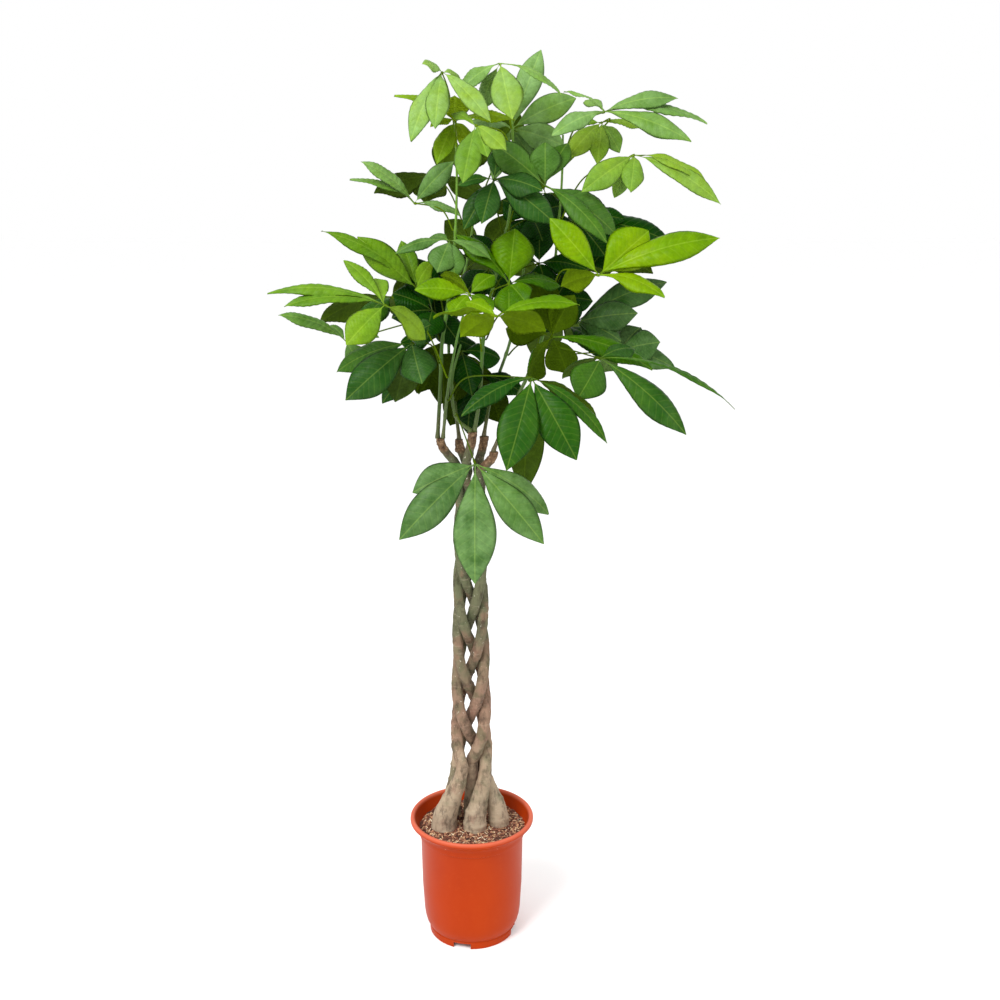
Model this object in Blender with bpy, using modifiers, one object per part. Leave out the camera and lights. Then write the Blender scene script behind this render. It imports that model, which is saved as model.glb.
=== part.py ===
"""A potted money tree: five braided trunks, green shoots and palmate leaves, in a nursery pot.

Metres, +Z up, +Y away from the front. The origin is the middle of the pot's foot.
Tables of places are in centimetres, and CM turns them into metres.
"""

import math

import bmesh
import bpy
from mathutils import Vector
from mathutils.bvhtree import BVHTree

CM = 0.01
GAP = 0.0003
UP = Vector((0, 0, 1))
FRONT = Vector((0, -1, 0))

# Pot: radii and heights of the turned wall
POT_HEIGHT = 0.245
RIM_RADIUS = 0.120
MOUTH_RADIUS = 0.111
LIP_FOOT_RADIUS = 0.1035
BAND_RADIUS = 0.1025
STEP_HEIGHT = 0.207
SHOULDER_RADIUS = 0.0995
HEEL_RADIUS = 0.0925
HEEL_HEIGHT = 0.034
FOOT_RADIUS = 0.0845
FOOT_HEIGHT = 0.013
WALL = 0.003
FLOOR_HEIGHT = 0.013
PAD_RADIUS = 0.030
NOTCH_WIDTH = 0.034
NOTCH_HEIGHT = 0.0115
NOTCH_COUNT = 4
NOTCH_TURN = math.radians(-103)
DRAIN_RADIUS = 0.006
DRAIN_RING = 0.052
DRAIN_COUNT = 8
POT_STEPS = 40

# Soil
SOIL_TOP = 0.222
SOIL_BOTTOM = FLOOR_HEIGHT + WALL + GAP
SOIL_STEPS = 40

# Braid: one full turn of the pattern is BRAID_TURN high
ROOT_DEPTH = 0.150
BRAID_START = 0.360
BRAID_TOP = 0.930
BRAID_TURN = 0.485
BRAID_PHASE_HEIGHT = 0.420
BRAID_PHASE = math.pi / 4
THICK = 0.0225
THIN = 0.0155
SIDE_SWING = 1.29
DEPTH_SWING = 1.07
ROOT_TAPER = 1.2
TRUNK_STEPS = 34
NECK = 0.004

# Each trunk: braid offset in degrees, root place in the soil (x, y), root diameter
# and cut top (x, y, z), in centimetres.
TRUNKS = {
    "trunk_1": (-144, (-5.4, -0.4), 5.1, (-5.2, -0.8, 99.5)),
    "trunk_2": (72, (0.6, -1.0), 4.6, (2.6, 3.4, 99.0)),
    "trunk_3": (144, (5.3, 0.9), 4.2, (0.6, -2.6, 101.0)),
    "trunk_4": (0, (0.0, 3.6), 3.6, (4.4, -0.8, 97.0)),
    "trunk_5": (-72, (-4.2, 4.8), 3.8, (-2.0, 3.0, 98.5)),
}

# Each shoot: the trunk that carries it, its place on the cut top and then its route,
# in centimetres, with its radius at the base and at the tip in millimetres.
SHOOTS = {
    "shoot_left": ("trunk_1", (-5.7, -0.6), 3.8, 1.8, [
        (-5.2, 0, 108), (-4.8, 0, 116), (-3.8, 0, 122.5), (-2.9, 0, 129),
        (-2.3, 0, 134.5), (-1.9, 0, 144), (-2, 0, 154)]),
    "shoot_low": ("trunk_1", (-4.7, -1.1), 3.2, 1.8, [
        (-4, -3, 106), (-3.2, -4, 111.5), (-1.9, -5, 118), (-0.8, -6, 122)]),
    "shoot_dark": ("trunk_3", (0.15, -2.8), 3.4, 2.0, [
        (-2.4, -2.8, 104), (-3, -1.5, 110), (-1.5, 1.5, 116)]),
    "shoot_centre": ("trunk_3", (1.0, -2.4), 3.8, 1.8, [
        (1.9, 0, 107), (2.3, 1, 114), (3, 0.5, 121.5), (4.5, 0, 127),
        (5.7, 0, 132.5), (7.1, 0, 138.5), (7.7, 0, 147), (7.5, 0, 154.5)]),
    "shoot_right": ("trunk_4", (4.4, -0.8), 3.8, 1.8, [
        (7.7, 2.5, 104.5), (11.5, 5, 112), (14, 6, 120), (15.2, 6, 129),
        (15.9, 5, 137.5), (16.3, 4, 144.5), (16.4, 4, 152)]),
    "shoot_back": ("trunk_5", (-2.0, 3.0), 3.6, 1.8, [
        (-3, 7, 106), (-4, 11, 115), (-2, 13, 124), (0, 14, 133), (1, 14, 141)]),
    "shoot_back_right": ("trunk_2", (2.6, 3.4), 3.6, 1.8, [
        (4, 8, 106), (7, 12, 114), (9, 14, 122), (10, 15, 130), (10, 15, 138)]),
}

# Each leaf: its shoot, the height where its petiole leaves it, its hub (x, y, z), and its
# leaflets as reach (x, y, z) and width in centimetres and lean. A lean of 0 faces the blade
# straight up, 1 to the front and -1 to the back.
LEAVES = {
    "leaf_front_low": ("shoot_dark", 104, (1.5, -24, 100), [
        (-10, -3, -4, 5.5, 0.7), (-12, -6, -11, 6, 0.7), (0, -7, -18, 7, 0.9),
        (11, -5, -12, 5.5, 0.7), (12, 2, -9, 5, 0.5)]),
    "leaf_front_right": ("shoot_low", 107, (10.5, -24, 114), [
        (-11, -6, -5, 4, 0.4), (-9, 1, -5, 5, -0.3), (-4, -9, -13, 6.5, 0.9),
        (7, -6, -12, 6.5, 0.8), (12, -3, -10, 3.5, 0.3), (11, 2, -8, 4, -0.5),
        (-1, 7, -21, 6, -0.6)]),
    "leaf_right_bright": ("shoot_right", 124, (21.5, -16, 129.5), [
        (8, 1, 7, 7.5, 0.85), (19, -2, 6, 5.5, 0.6), (-8, 1, 9, 5, 0.85), (10, -6, -3, 4, 0.4),
        (-6, 2, -2, 5, -0.6)]),
    "leaf_right_low": ("shoot_right", 110, (22, -16, 116), [
        (-4, -5, -6, 6.5, 0.9), (14, -4, -12, 5, 0.6), (22, -3, -8, 2.5, 0.1),
        (-6, 4, -4, 4, -0.4), (6, 4, 1, 4, 0.4)]),
    "leaf_left_low": ("shoot_low", 111, (-13.5, -14, 124.5), [
        (-16, -3, 0, 3.5, 0.4), (-19, -1, 2, 3, 0.4), (-6, -4, -6, 5.5, 0.85),
        (7, -5, -5, 5.5, -0.6), (-2, 5, 4, 3.5, 0.4), (-7, 4, 7, 3, 0.4)]),
    "leaf_left_high": ("shoot_left", 124, (-9, 0, 126), [
        (-16, -3, 10, 3, 0.45), (-10, -2, 9, 5, 0.85), (-3, 4, 8, 3.5, 0.5),
        (3, -3, 5, 3.5, 0.6)]),
    "leaf_left_under": ("shoot_left", 113, (-9.5, -8, 117.5), [
        (-11, -5, -9, 6.5, 0.8), (-13, 0, -5, 5, 0.5), (2, -6, -6, 6.5, 0.9),
        (-3, -1, -10, 6, -0.7), (2, 4, 4, 5.5, 0.5)]),
    "leaf_far_left": ("shoot_left", 119, (-21.5, -2, 117), [
        (-11, -4, 5, 3.5, 0.4), (4, -4, -5, 4.5, 0.8), (6, -2, 1, 3, 0.3), (-4, 6, 2, 2.5, 0.3)]),
    "leaf_side_left": ("shoot_left", 136, (-9.5, 4, 140.5), [
        (-9, -2, 7, 3, 0.5), (-11, -2, 4, 2.5, 0.3), (7, -2, 7, 4, 0.8), (8, -2, -2, 2.5, 0.4)]),
    "leaf_left_inner": ("shoot_left", 130, (-3, -6, 134.5), [
        (-2, -4, -5, 5, 0.9), (-9, -2, -2, 3, 0.4), (1, -3, -6, 4.5, 0.7), (7, -3, -3, 3.5, 0.3),
        (10, 0, -7, 3.5, 0.3), (-4, 4, 0, 4, 0.4)]),
    "leaf_tip_left": ("shoot_left", 150, (-2, -2, 154), [
        (0, 2, 4, 5, 0.95), (-10, -2, 4, 2.5, 0.4), (-4, -4, -1, 2.5, 0.4),
        (-3, -4, -7, 3.5, 0.7), (3, -3, -5, 3, 0.6), (10, -2, 0, 3, 0.45)]),
    "leaf_top_left": ("shoot_left", 152, (-4, -6, 161.5), [
        (-3, -3, 1, 3, 0.5), (-5, -4, -11, 4, 0.6), (-1, -5, -9, 4, 0.85), (8, -4, -8, 3.5, 0.6),
        (3, 3, -1, 3, 0.5)]),
    "leaf_tip_centre": ("shoot_centre", 152, (7.5, 3, 153), [
        (5, 2, 13, 4.5, 0.9), (11, 0, 5, 5, 0.75), (9, -3, -3, 5, 0.8), (-3, -4, -8, 3.5, 0.6),
        (-7, -2, 1, 3.5, 0.5), (4, 1, -6, 5, 0.85)]),
    "leaf_top_mid": ("shoot_centre", 153, (5.5, -4, 163), [
        (2, -5, -9, 5.5, 0.95), (-7, -1, -5, 3.5, 0.5), (10, -2, -5, 2.5, 0.3),
        (-3, 3, -7, 3.5, 0.6)]),
    "leaf_drooping": ("shoot_centre", 149, (1.5, -9, 153), [
        (-2, -4, -9, 4.5, 0.85), (2, -3, -5, 3.5, 0.7), (5, -3, -4, 3.5, 0.6),
        (-4, 3, 2, 2.5, 0.4)]),
    "leaf_upper_fan": ("shoot_centre", 136, (13, -6, 143.5), [
        (0, 1, 7, 5.5, 0.95), (10, -6, -9, 4, 0.5), (12, 0, -8, 6, 0.6), (-9, 2, 7, 5.5, 0.75),
        (4, 4, 7, 4, 0.5)]),
    "leaf_upper_star": ("shoot_centre", 135, (4.5, -6, 144.5), [
        (-5, -4, -8, 4, 0.8), (9, -1, -2, 5, 0.6), (10, -4, -7, 5.5, 0.7), (-6, 0, -1, 3, 0.4),
        (-2, -6, -7, 4.5, 0.85), (1, 4, 5, 3.5, 0.4)]),
    "leaf_round": ("shoot_centre", 122, (7, -8, 127.5), [
        (1, 2, 9, 7.5, 0.95), (-9, 3, 8, 4.5, 0.4), (3, -4, -3, 5, 0.7), (0, -5, -5, 5.5, 0.8),
        (9, 6, -1, 5, 0.4)]),
    "leaf_front": ("shoot_centre", 118, (5, -22, 123.5), [
        (13, -2, 2, 4, 0.35), (-5, 3, 2, 3.5, 0.5), (-10, -2, 0, 3, -0.3), (-6, 6, -4, 5, -0.7),
        (8, 6, -3, 5, -0.7)]),
    "leaf_left_bright": ("shoot_centre", 115, (0.5, -12, 126), [
        (-9, -2, 1, 4.5, 0.55), (-5, 3, 3, 5, -0.5), (4, 3, 3, 4, 0.5), (-3, -4, -3, 4.5, 0.5),
        (4, -4, -2, 3.5, 0.4)]),
    "leaf_top_right": ("shoot_right", 149, (23, -2, 155.5), [
        (12, -2, 2, 3.5, 0.6), (17, -2, -2, 3, 0.4), (14, -5, -5, 4, 0.65),
        (-9, -4, -4, 3.5, 0.6), (-7, -2, 3, 1.5, 0.3), (-3, 5, 2, 3, 0.4)]),
    "leaf_tip_right": ("shoot_right", 147, (23, 4, 154), [
        (-6, -5, -6, 4, 0.7), (-1, -5, -7, 3.5, 0.85), (3, -3, -5, 3.5, 0.8),
        (-5, 2, -1, 2.5, 0.4), (7, 2, -1, 2.5, 0.4)]),
    "leaf_side_right": ("shoot_right", 138, (28, -4, 148.5), [
        (12, -4, -5, 3, 0.4), (14, -5, -8, 3.5, 0.6), (-9, -4, -6, 4.5, 0.8),
        (-1, -5, -6, 4, 0.85), (-3, 2, -7, 3, 0.6)]),
    "leaf_star": ("shoot_right", 129, (19, 6, 137.5), [
        (5, -4, -6, 6.5, 0.85), (9, -2, 0, 4.5, 0.5), (17, -2, -4, 5.5, 0.6),
        (-7, -1, -3, 5.5, 0.6), (2, 3, 5, 5.5, 0.7)]),
    "leaf_right_mid": ("shoot_right", 114, (14.5, -4, 118), [
        (17, -5, -5, 5, 0.4), (-3, 3, 11, 6.5, -0.8), (-8, -4, 2, 6, -0.7),
        (-4, -5, -7, 6.5, -0.5), (3, 3, -7, 6, -0.6), (4, 3, 7, 6, -0.7)]),
    "leaf_right_far": ("shoot_right", 120, (19.5, 10, 119), [
        (17, 4, 7, 6, 0.55), (11, -3, 2, 6, 0.7), (8, -4, -3, 5, 0.5), (6, -3, -5, 4.5, 0.5),
        (-4, 5, 3, 4, 0.4)]),
    "leaf_right_under": ("shoot_right", 113, (27.5, 8, 114), [
        (7, -3, 2, 6, 0.7), (10, -2, -3, 4.5, 0.5), (4, 3, 4, 5.5, 0.5), (-3, 0, -4, 5.5, -0.4)]),
    "leaf_centre": ("shoot_centre", 124, (12.5, 6, 130), [
        (0, 2, 7, 5.5, 0.8), (9, -2, -1, 5.5, 0.5), (1, -5, -4, 5, 0.6), (-6, 3, 0, 4.5, 0.4)]),
    "leaf_mid_left": ("shoot_left", 117, (-6.5, 2, 122), [
        (-7, 0, 3, 6, 0.6), (-7, -3, -1, 5.5, 0.6), (-3, 3, 9, 6.5, 0.7), (4, -4, -5, 5.5, 0.6),
        (-1, -5, -6, 6, 0.7)]),
    "leaf_inner_low": ("shoot_dark", 109, (-1.5, 4, 114.5), [
        (-3, -4, -9, 8, -0.8), (2, -6, -7, 5.5, 0.5), (5, 1, -15, 7, -0.6), (-7, 3, -7, 7, -0.6),
        (7, 4, -2, 5.5, 0.5)]),
    "leaf_centre_dark": ("shoot_centre", 119, (3.5, 6, 129), [
        (-3, 1, 6, 5.5, 0.7), (-4, -2, -4, 6, 0.6), (3, -3, -5, 5.5, 0.5), (5, 4, 3, 5.5, 0.4)]),
    "leaf_low_dark": ("shoot_dark", 107, (1.5, 9, 109.5), [
        (-2, -1, -11, 6.5, 0.3), (4, 3, -9, 6.5, -0.6), (-5, 4, -9, 7, -0.5),
        (7, 5, -3, 5.5, 0.4)]),
    "leaf_mid_dark": ("shoot_centre", 117, (15.5, 9, 123), [
        (-5, 1, 5, 6, 0.6), (2, -2, -6, 6, 0.5), (7, 0, 0, 5.5, 0.5), (-3, -3, -5, 6, 0.6),
        (4, 4, 5, 5.5, 0.5)]),
    "leaf_upper_dark": ("shoot_centre", 131, (11, 8, 138), [
        (-5, 0, 3, 6.5, 0.6), (6, 1, 2, 6.5, 0.6), (3, -3, -6, 6.5, 0.6), (-3, -2, -5, 6, 0.6),
        (9, 2, -3, 6, 0.5)]),
    "leaf_left_dark": ("shoot_left", 121, (-7, 8, 126.5), [
        (3, 0, 4, 6, 0.6), (1, -3, -6, 6, 0.5), (-6, 1, -3, 5.5, 0.4), (5, 1, -4, 5.5, 0.5),
        (-5, 3, 3, 5.5, 0.5)]),
    "leaf_right_dark": ("shoot_right", 126, (26, 8, 133.5), [
        (-4, -1, -4, 6, 0.6), (5, 0, 3, 5.5, 0.5), (-2, 3, 6, 5.5, 0.5), (6, 1, -4, 5.5, 0.5)]),
    "leaf_under_left": ("shoot_low", 104, (-5, 10, 116), [
        (-5, 1, -10, 7, -0.6), (-8, 2, -1, 6, 0.4), (6, 2, -2, 6, 0.4), (0, 3, 7, 5.5, 0.5)]),
    "leaf_back_low": ("shoot_back", 107, (-8, 20, 110), [
        (-12, 4, -6, 7, -0.4), (-3, 12, -8, 7.5, -0.3), (7, 9, -9, 7, -0.4),
        (-9, -5, -7, 6.5, 0.3), (5, -2, -9, 6, 0.3)]),
    "leaf_back_left": ("shoot_back", 115, (-15, 17, 123), [
        (-14, 2, -5, 7, -0.5), (-9, 11, -6, 7, -0.4), (3, 12, -6, 7, -0.3),
        (-5, -9, -5, 6, 0.3), (6, 2, 5, 6, -0.5)]),
    "leaf_back_mid": ("shoot_back", 123, (2, 24, 130), [
        (-10, 8, -5, 7, -0.4), (2, 13, -6, 7.5, -0.3), (12, 7, -5, 7, -0.4),
        (6, -3, 8, 6, -0.7), (-7, -2, 7, 6, -0.7)]),
    "leaf_back_high": ("shoot_back", 134, (-6, 16, 145), [
        (-12, 3, -3, 6, -0.5), (-3, 10, -5, 6.5, -0.4), (9, 5, -5, 6, -0.4),
        (3, -3, 7, 5.5, -0.7)]),
    "leaf_back_tip": ("shoot_back", 140, (5, 14, 150), [
        (-8, 5, -3, 5.5, -0.5), (2, 10, -3, 6, -0.4), (10, 4, -4, 5.5, -0.5),
        (4, -3, 6, 5, -0.7)]),
    "leaf_back_right": ("shoot_back_right", 113, (18, 22, 117), [
        (14, 4, -5, 7, -0.4), (7, 12, -6, 7.5, -0.3), (-6, 11, -7, 7, -0.3),
        (9, -8, -6, 6.5, 0.3), (-4, -3, 7, 6, -0.7)]),
    "leaf_back_side": ("shoot_back_right", 121, (22, 18, 131), [
        (13, 5, -4, 6.5, -0.5), (5, 12, -5, 7, -0.4), (-8, 8, 4, 6, -0.6),
        (12, -5, 2, 6, 0.4), (-2, -3, 9, 6, -0.7)]),
    "leaf_back_crown": ("shoot_back_right", 133, (14, 20, 142), [
        (12, 3, -4, 6, -0.5), (3, 11, -5, 6.5, -0.4), (-9, 6, -4, 6, -0.4),
        (-3, -3, 7, 5.5, -0.7)]),
}

# Leaf make-up
PETIOLE_BASE = 0.0016
PETIOLE_TIP = 0.0011
PETIOLE_STEPS = 4
HUB_RADIUS = 0.0028
BLADE_HALF_THICKNESS = 0.0005
BLADE_ARCH = 0.12
BLADE_STATIONS = ((0.14, 0.22), (0.36, 0.74), (0.62, 1.0), (0.87, 0.62))
CLEAR = 0.0008
NUDGES = (0, 2, -2, 4, -4, 6, -6, 8, -8)
SHORTER = (1.0, 0.85, 0.7, 0.5)

# Colour (sRGB, 0 to 255), roughness
FINISHES = {
    "terracotta_plastic": ((203, 72, 22), 0.45),
    "potting_soil": ((70, 45, 32), 0.95),
    "grey_bark": ((128, 112, 92), 0.85),
    "green_stem": ((96, 130, 48), 0.55),
    "glossy_leaf": ((66, 125, 24), 0.38),
}


def linear(level):
    """A channel from 0 to 255 as the shader wants it."""
    share = level / 255
    return share / 12.92 if share < 0.04045 else ((share + 0.055) / 1.055) ** 2.4


def make_materials():
    made = {}
    for name, (colour, roughness) in FINISHES.items():
        material = bpy.data.materials.new(name)
        material.use_nodes = True
        shader = material.node_tree.nodes["Principled BSDF"]
        shader.inputs["Base Color"].default_value = (*map(linear, colour), 1)
        shader.inputs["Roughness"].default_value = roughness
        shader.inputs["Metallic"].default_value = 0
        made[name] = material
    return made


def clear_scene():
    for obj in list(bpy.data.objects):
        bpy.data.objects.remove(obj, do_unlink=True)


def new_collection(name):
    collection = bpy.data.collections.new(name)
    bpy.context.scene.collection.children.link(collection)
    return collection


def add_object(name, mesh, collection, material=None):
    obj = bpy.data.objects.new(name, mesh)
    collection.objects.link(obj)
    if material:
        obj.data.materials.append(material)
    return obj


def add_cutter(name, mesh, collection):
    obj = add_object(name, mesh, collection)
    obj.hide_render = True
    obj.display_type = "WIRE"
    return obj


def add_boolean(obj, other, operation, itself=False):
    modifier = obj.modifiers.new(other.name, "BOOLEAN")
    modifier.object = other
    modifier.operation = operation
    modifier.use_self = itself


def smooth_step(share):
    share = min(max(share, 0.0), 1.0)
    return share * share * (3 - 2 * share)


def spline_point(points, place):
    """A point of the smooth curve through points, place running from 0 to their number less one."""
    index = min(int(place), len(points) - 2)
    t = place - index
    before = points[max(index - 1, 0)]
    start, end = points[index], points[index + 1]
    after = points[min(index + 2, len(points) - 1)]
    return 0.5 * (
        2 * start
        + (end - before) * t
        + (2 * before - 5 * start + 4 * end - after) * t * t
        + (3 * start - before - 3 * end + after) * t**3
    )


def spline(points, steps):
    last = len(points) - 1
    return [spline_point(points, last * i / steps) for i in range(steps + 1)]


def tube_mesh(name, points, radii, sides):
    """A closed round tube along points: a bevelled curve turned into a welded mesh."""
    curve = bpy.data.curves.new(name, "CURVE")
    curve.dimensions = "3D"
    curve.bevel_depth = 1.0
    curve.bevel_resolution = (sides - 4) // 2
    curve.use_fill_caps = True
    line = curve.splines.new("POLY")
    line.points.add(len(points) - 1)
    for spot, place, radius in zip(line.points, points, radii):
        spot.co = (*place, 1)
        spot.radius = radius
    holder = bpy.data.objects.new(name, curve)
    mesh = bpy.data.meshes.new_from_object(holder)
    bpy.data.objects.remove(holder)
    bpy.data.curves.remove(curve)
    shape = bmesh.new()
    shape.from_mesh(mesh)
    bmesh.ops.remove_doubles(shape, verts=shape.verts, dist=1e-6)
    bmesh.ops.recalc_face_normals(shape, faces=shape.faces)
    shape.to_mesh(mesh)
    shape.free()
    mesh.shade_smooth()
    mesh.set_sharp_from_angle(angle=math.radians(40))
    return mesh


def turned_object(name, profile, steps, collection, material):
    """A solid turned from a closed outline of (radius, height) points, clockwise at +X."""
    mesh = bpy.data.meshes.new(name)
    corners = [(radius, 0, height) for radius, height in profile]
    edges = [(i, (i + 1) % len(corners)) for i in range(len(corners))]
    if profile[0][0] == 0 and profile[-1][0] == 0:
        edges.pop()
    mesh.from_pydata(corners, edges, [])
    obj = add_object(name, mesh, collection, material)
    screw = obj.modifiers.new("turn", "SCREW")
    screw.steps = screw.render_steps = steps
    screw.use_merge_vertices = True
    screw.merge_threshold = 0.00001
    return obj


def pot_profile():
    """The pot's wall, from the middle of its floor outwards, over the rim and back inside."""
    return [
        (0, FLOOR_HEIGHT + WALL),
        (HEEL_RADIUS - 0.016, FLOOR_HEIGHT + WALL),
        (HEEL_RADIUS - WALL - 0.004, HEEL_HEIGHT - 0.006),
        (HEEL_RADIUS - WALL + 0.001, HEEL_HEIGHT + 0.014),
        (SHOULDER_RADIUS - WALL, STEP_HEIGHT - 0.002),
        (BAND_RADIUS - WALL, STEP_HEIGHT + 0.002),
        (BAND_RADIUS - WALL + 0.001, POT_HEIGHT - 0.030),
        (LIP_FOOT_RADIUS, SOIL_TOP),
        (MOUTH_RADIUS - 0.004, POT_HEIGHT - 0.016),
        (MOUTH_RADIUS, POT_HEIGHT - 0.004),
        (MOUTH_RADIUS + 0.0020, POT_HEIGHT - 0.0010),
        (RIM_RADIUS - 0.003, POT_HEIGHT),
        (RIM_RADIUS - 0.0006, POT_HEIGHT - 0.0025),
        (RIM_RADIUS, POT_HEIGHT - 0.006),
        (RIM_RADIUS - 0.0012, POT_HEIGHT - 0.0095),
        (RIM_RADIUS - 0.005, POT_HEIGHT - 0.0125),
        (RIM_RADIUS - 0.012, POT_HEIGHT - 0.0180),
        (BAND_RADIUS + 0.0015, POT_HEIGHT - 0.024),
        (BAND_RADIUS, POT_HEIGHT - 0.030),
        (BAND_RADIUS, STEP_HEIGHT + 0.001),
        (SHOULDER_RADIUS, STEP_HEIGHT - 0.001),
        (HEEL_RADIUS + 0.002, HEEL_HEIGHT + 0.014),
        (HEEL_RADIUS - 0.002, HEEL_HEIGHT - 0.008),
        (FOOT_RADIUS + 0.001, FOOT_HEIGHT + 0.004),
        (FOOT_RADIUS - 0.001, FOOT_HEIGHT + 0.002),
        (FOOT_RADIUS - 0.001, FOOT_HEIGHT),
        (FOOT_RADIUS, FOOT_HEIGHT - 0.001),
        (FOOT_RADIUS - 0.001, 0),
        (FOOT_RADIUS - 0.004, 0),
        (FOOT_RADIUS - 0.005, FLOOR_HEIGHT),
        (PAD_RADIUS + 0.003, FLOOR_HEIGHT),
        (PAD_RADIUS, 0),
        (0, 0),
    ]


def box_cutter(name, size, place, turn, collection):
    mesh = bpy.data.meshes.new(name)
    shape = bmesh.new()
    bmesh.ops.create_cube(shape, size=1.0)
    bmesh.ops.scale(shape, vec=size, verts=shape.verts)
    shape.to_mesh(mesh)
    shape.free()
    obj = add_cutter(name, mesh, collection)
    obj.location = place
    obj.rotation_euler.z = turn
    return obj


def drain_cutter(name, place, collection):
    mesh = bpy.data.meshes.new(name)
    shape = bmesh.new()
    bmesh.ops.create_cone(
        shape,
        cap_ends=True,
        segments=10,
        radius1=DRAIN_RADIUS,
        radius2=DRAIN_RADIUS,
        depth=4 * WALL,
    )
    shape.to_mesh(mesh)
    shape.free()
    obj = add_cutter(name, mesh, collection)
    obj.location = place
    return obj


def build_pot(parts, cutters, materials):
    pot = turned_object("pot", pot_profile(), POT_STEPS, parts, materials["terracotta_plastic"])
    for i in range(NOTCH_COUNT):
        turn = NOTCH_TURN + math.tau * i / NOTCH_COUNT
        place = (FOOT_RADIUS * math.cos(turn), FOOT_RADIUS * math.sin(turn), 0)
        size = (0.020, NOTCH_WIDTH, 2 * NOTCH_HEIGHT)
        add_boolean(pot, box_cutter(f"notch_{i + 1}", size, place, turn, cutters), "DIFFERENCE")
    for i in range(DRAIN_COUNT):
        turn = math.tau * (i + 0.5) / DRAIN_COUNT
        place = (DRAIN_RING * math.cos(turn), DRAIN_RING * math.sin(turn), FLOOR_HEIGHT)
        add_boolean(pot, drain_cutter(f"drain_{i + 1}", place, cutters), "DIFFERENCE")


def strand_diameter(height):
    share = (height - BRAID_START) / (BRAID_TOP - BRAID_START)
    return THICK + (THIN - THICK) * min(max(share, 0.0), 1.0)


def braid_place(height, offset):
    """Where a strand lies in the five-strand braid: a figure of eight, walked once a turn."""
    angle = BRAID_PHASE + math.tau * (height - BRAID_PHASE_HEIGHT) / BRAID_TURN + offset
    diameter = strand_diameter(height)
    side = SIDE_SWING * diameter * math.sin(angle)
    depth = -DEPTH_SWING * diameter * math.sin(2 * angle)
    return Vector((side, depth, height))


def trunk_route(offset_degrees, root, root_diameter, top):
    """Centre points and radii of a trunk, from its root end to its cut top."""
    offset = math.radians(offset_degrees)
    root_place = Vector((root[0] * CM, root[1] * CM, 0))
    top_place = Vector(top) * CM
    points, radii = [], []
    for i in range(TRUNK_STEPS + 1):
        height = ROOT_DEPTH + (top_place.z - NECK - ROOT_DEPTH) * i / TRUNK_STEPS
        point = braid_place(min(max(height, BRAID_START), BRAID_TOP), offset)
        diameter = strand_diameter(height)
        joined = smooth_step((height - SOIL_TOP) / (BRAID_START - SOIL_TOP))
        parted = smooth_step((height - BRAID_TOP) / (top_place.z - NECK - BRAID_TOP))
        point = root_place.lerp(point, joined).lerp(top_place, parted)
        point.z = height
        points.append(point)
        flare = (1 - min(max((height - SOIL_TOP) / (BRAID_START - SOIL_TOP), 0), 1)) ** ROOT_TAPER
        radii.append((diameter + (root_diameter * CM - diameter) * flare) / 2)
    points.append(top_place)
    radii.append(radii[-1])
    return points, radii


def build_trunks(parts, cutters, materials, soil):
    tops = {}
    for name, (offset, root, root_diameter, top) in TRUNKS.items():
        points, radii = trunk_route(offset, root, root_diameter, top)
        add_object(name, tube_mesh(name, points, radii, 8), parts, materials["grey_bark"])
        wider = [radius + GAP for radius in radii]
        points[0] = points[0] - UP * GAP
        hole = add_cutter(f"{name}_hole", tube_mesh(f"{name}_hole", points, wider, 8), cutters)
        add_boolean(soil, hole, "DIFFERENCE")
        tops[name] = top[2] * CM
    return tops


def build_soil(parts, materials):
    wall = WALL + GAP
    profile = [
        (0, SOIL_TOP),
        (LIP_FOOT_RADIUS - GAP, SOIL_TOP),
        (BAND_RADIUS - wall + 0.001, POT_HEIGHT - 0.030),
        (BAND_RADIUS - wall, STEP_HEIGHT + 0.0045),
        (SHOULDER_RADIUS - wall, STEP_HEIGHT - 0.001),
        (HEEL_RADIUS - wall + 0.0008, HEEL_HEIGHT + 0.014),
        (HEEL_RADIUS - wall - 0.0045, HEEL_HEIGHT - 0.006),
        (HEEL_RADIUS - 0.0175, SOIL_BOTTOM),
        (0, SOIL_BOTTOM),
    ]
    return turned_object("soil", profile, SOIL_STEPS, parts, materials["potting_soil"])


def tree_of(mesh):
    corners = [vertex.co.copy() for vertex in mesh.vertices]
    return BVHTree.FromPolygons(corners, [tuple(face.vertices) for face in mesh.polygons])


def shoot_route(trunk_top, base, route):
    foot = Vector((base[0] * CM, base[1] * CM, trunk_top + GAP))
    neck = foot + UP * NECK
    return [foot] + spline([neck] + [Vector(place) * CM for place in route], 3 * len(route))


def build_shoots(parts, materials, tops, taken):
    """Makes the shoots, and gives each one's centre points and radii."""
    routes = {}
    for name, (trunk, base, base_mm, tip_mm, route) in SHOOTS.items():
        points = shoot_route(tops[trunk], base, route)
        last = len(points) - 1
        radii = [(base_mm + (tip_mm - base_mm) * i / last) / 1000 for i in range(last + 1)]
        mesh = tube_mesh(name, points, radii, 6)
        add_object(name, mesh, parts, materials["green_stem"])
        taken.append((name, tree_of(mesh)))
        routes[name] = (points, radii)
    return routes


def at_height(points, radii, height):
    """A stem's centre, its direction and its radius at that height, or at its tip."""
    for a, b, radius in zip(points, points[1:], radii):
        if b.z >= height or b == points[-1]:
            share = min((height - a.z) / (b.z - a.z), 1.0)
            return a.lerp(b, share), (b - a).normalized(), radius


def is_free(mesh, taken, own=""):
    tree = tree_of(mesh)
    return not any(name != own and tree.overlap(other) for name, other in taken)


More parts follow.
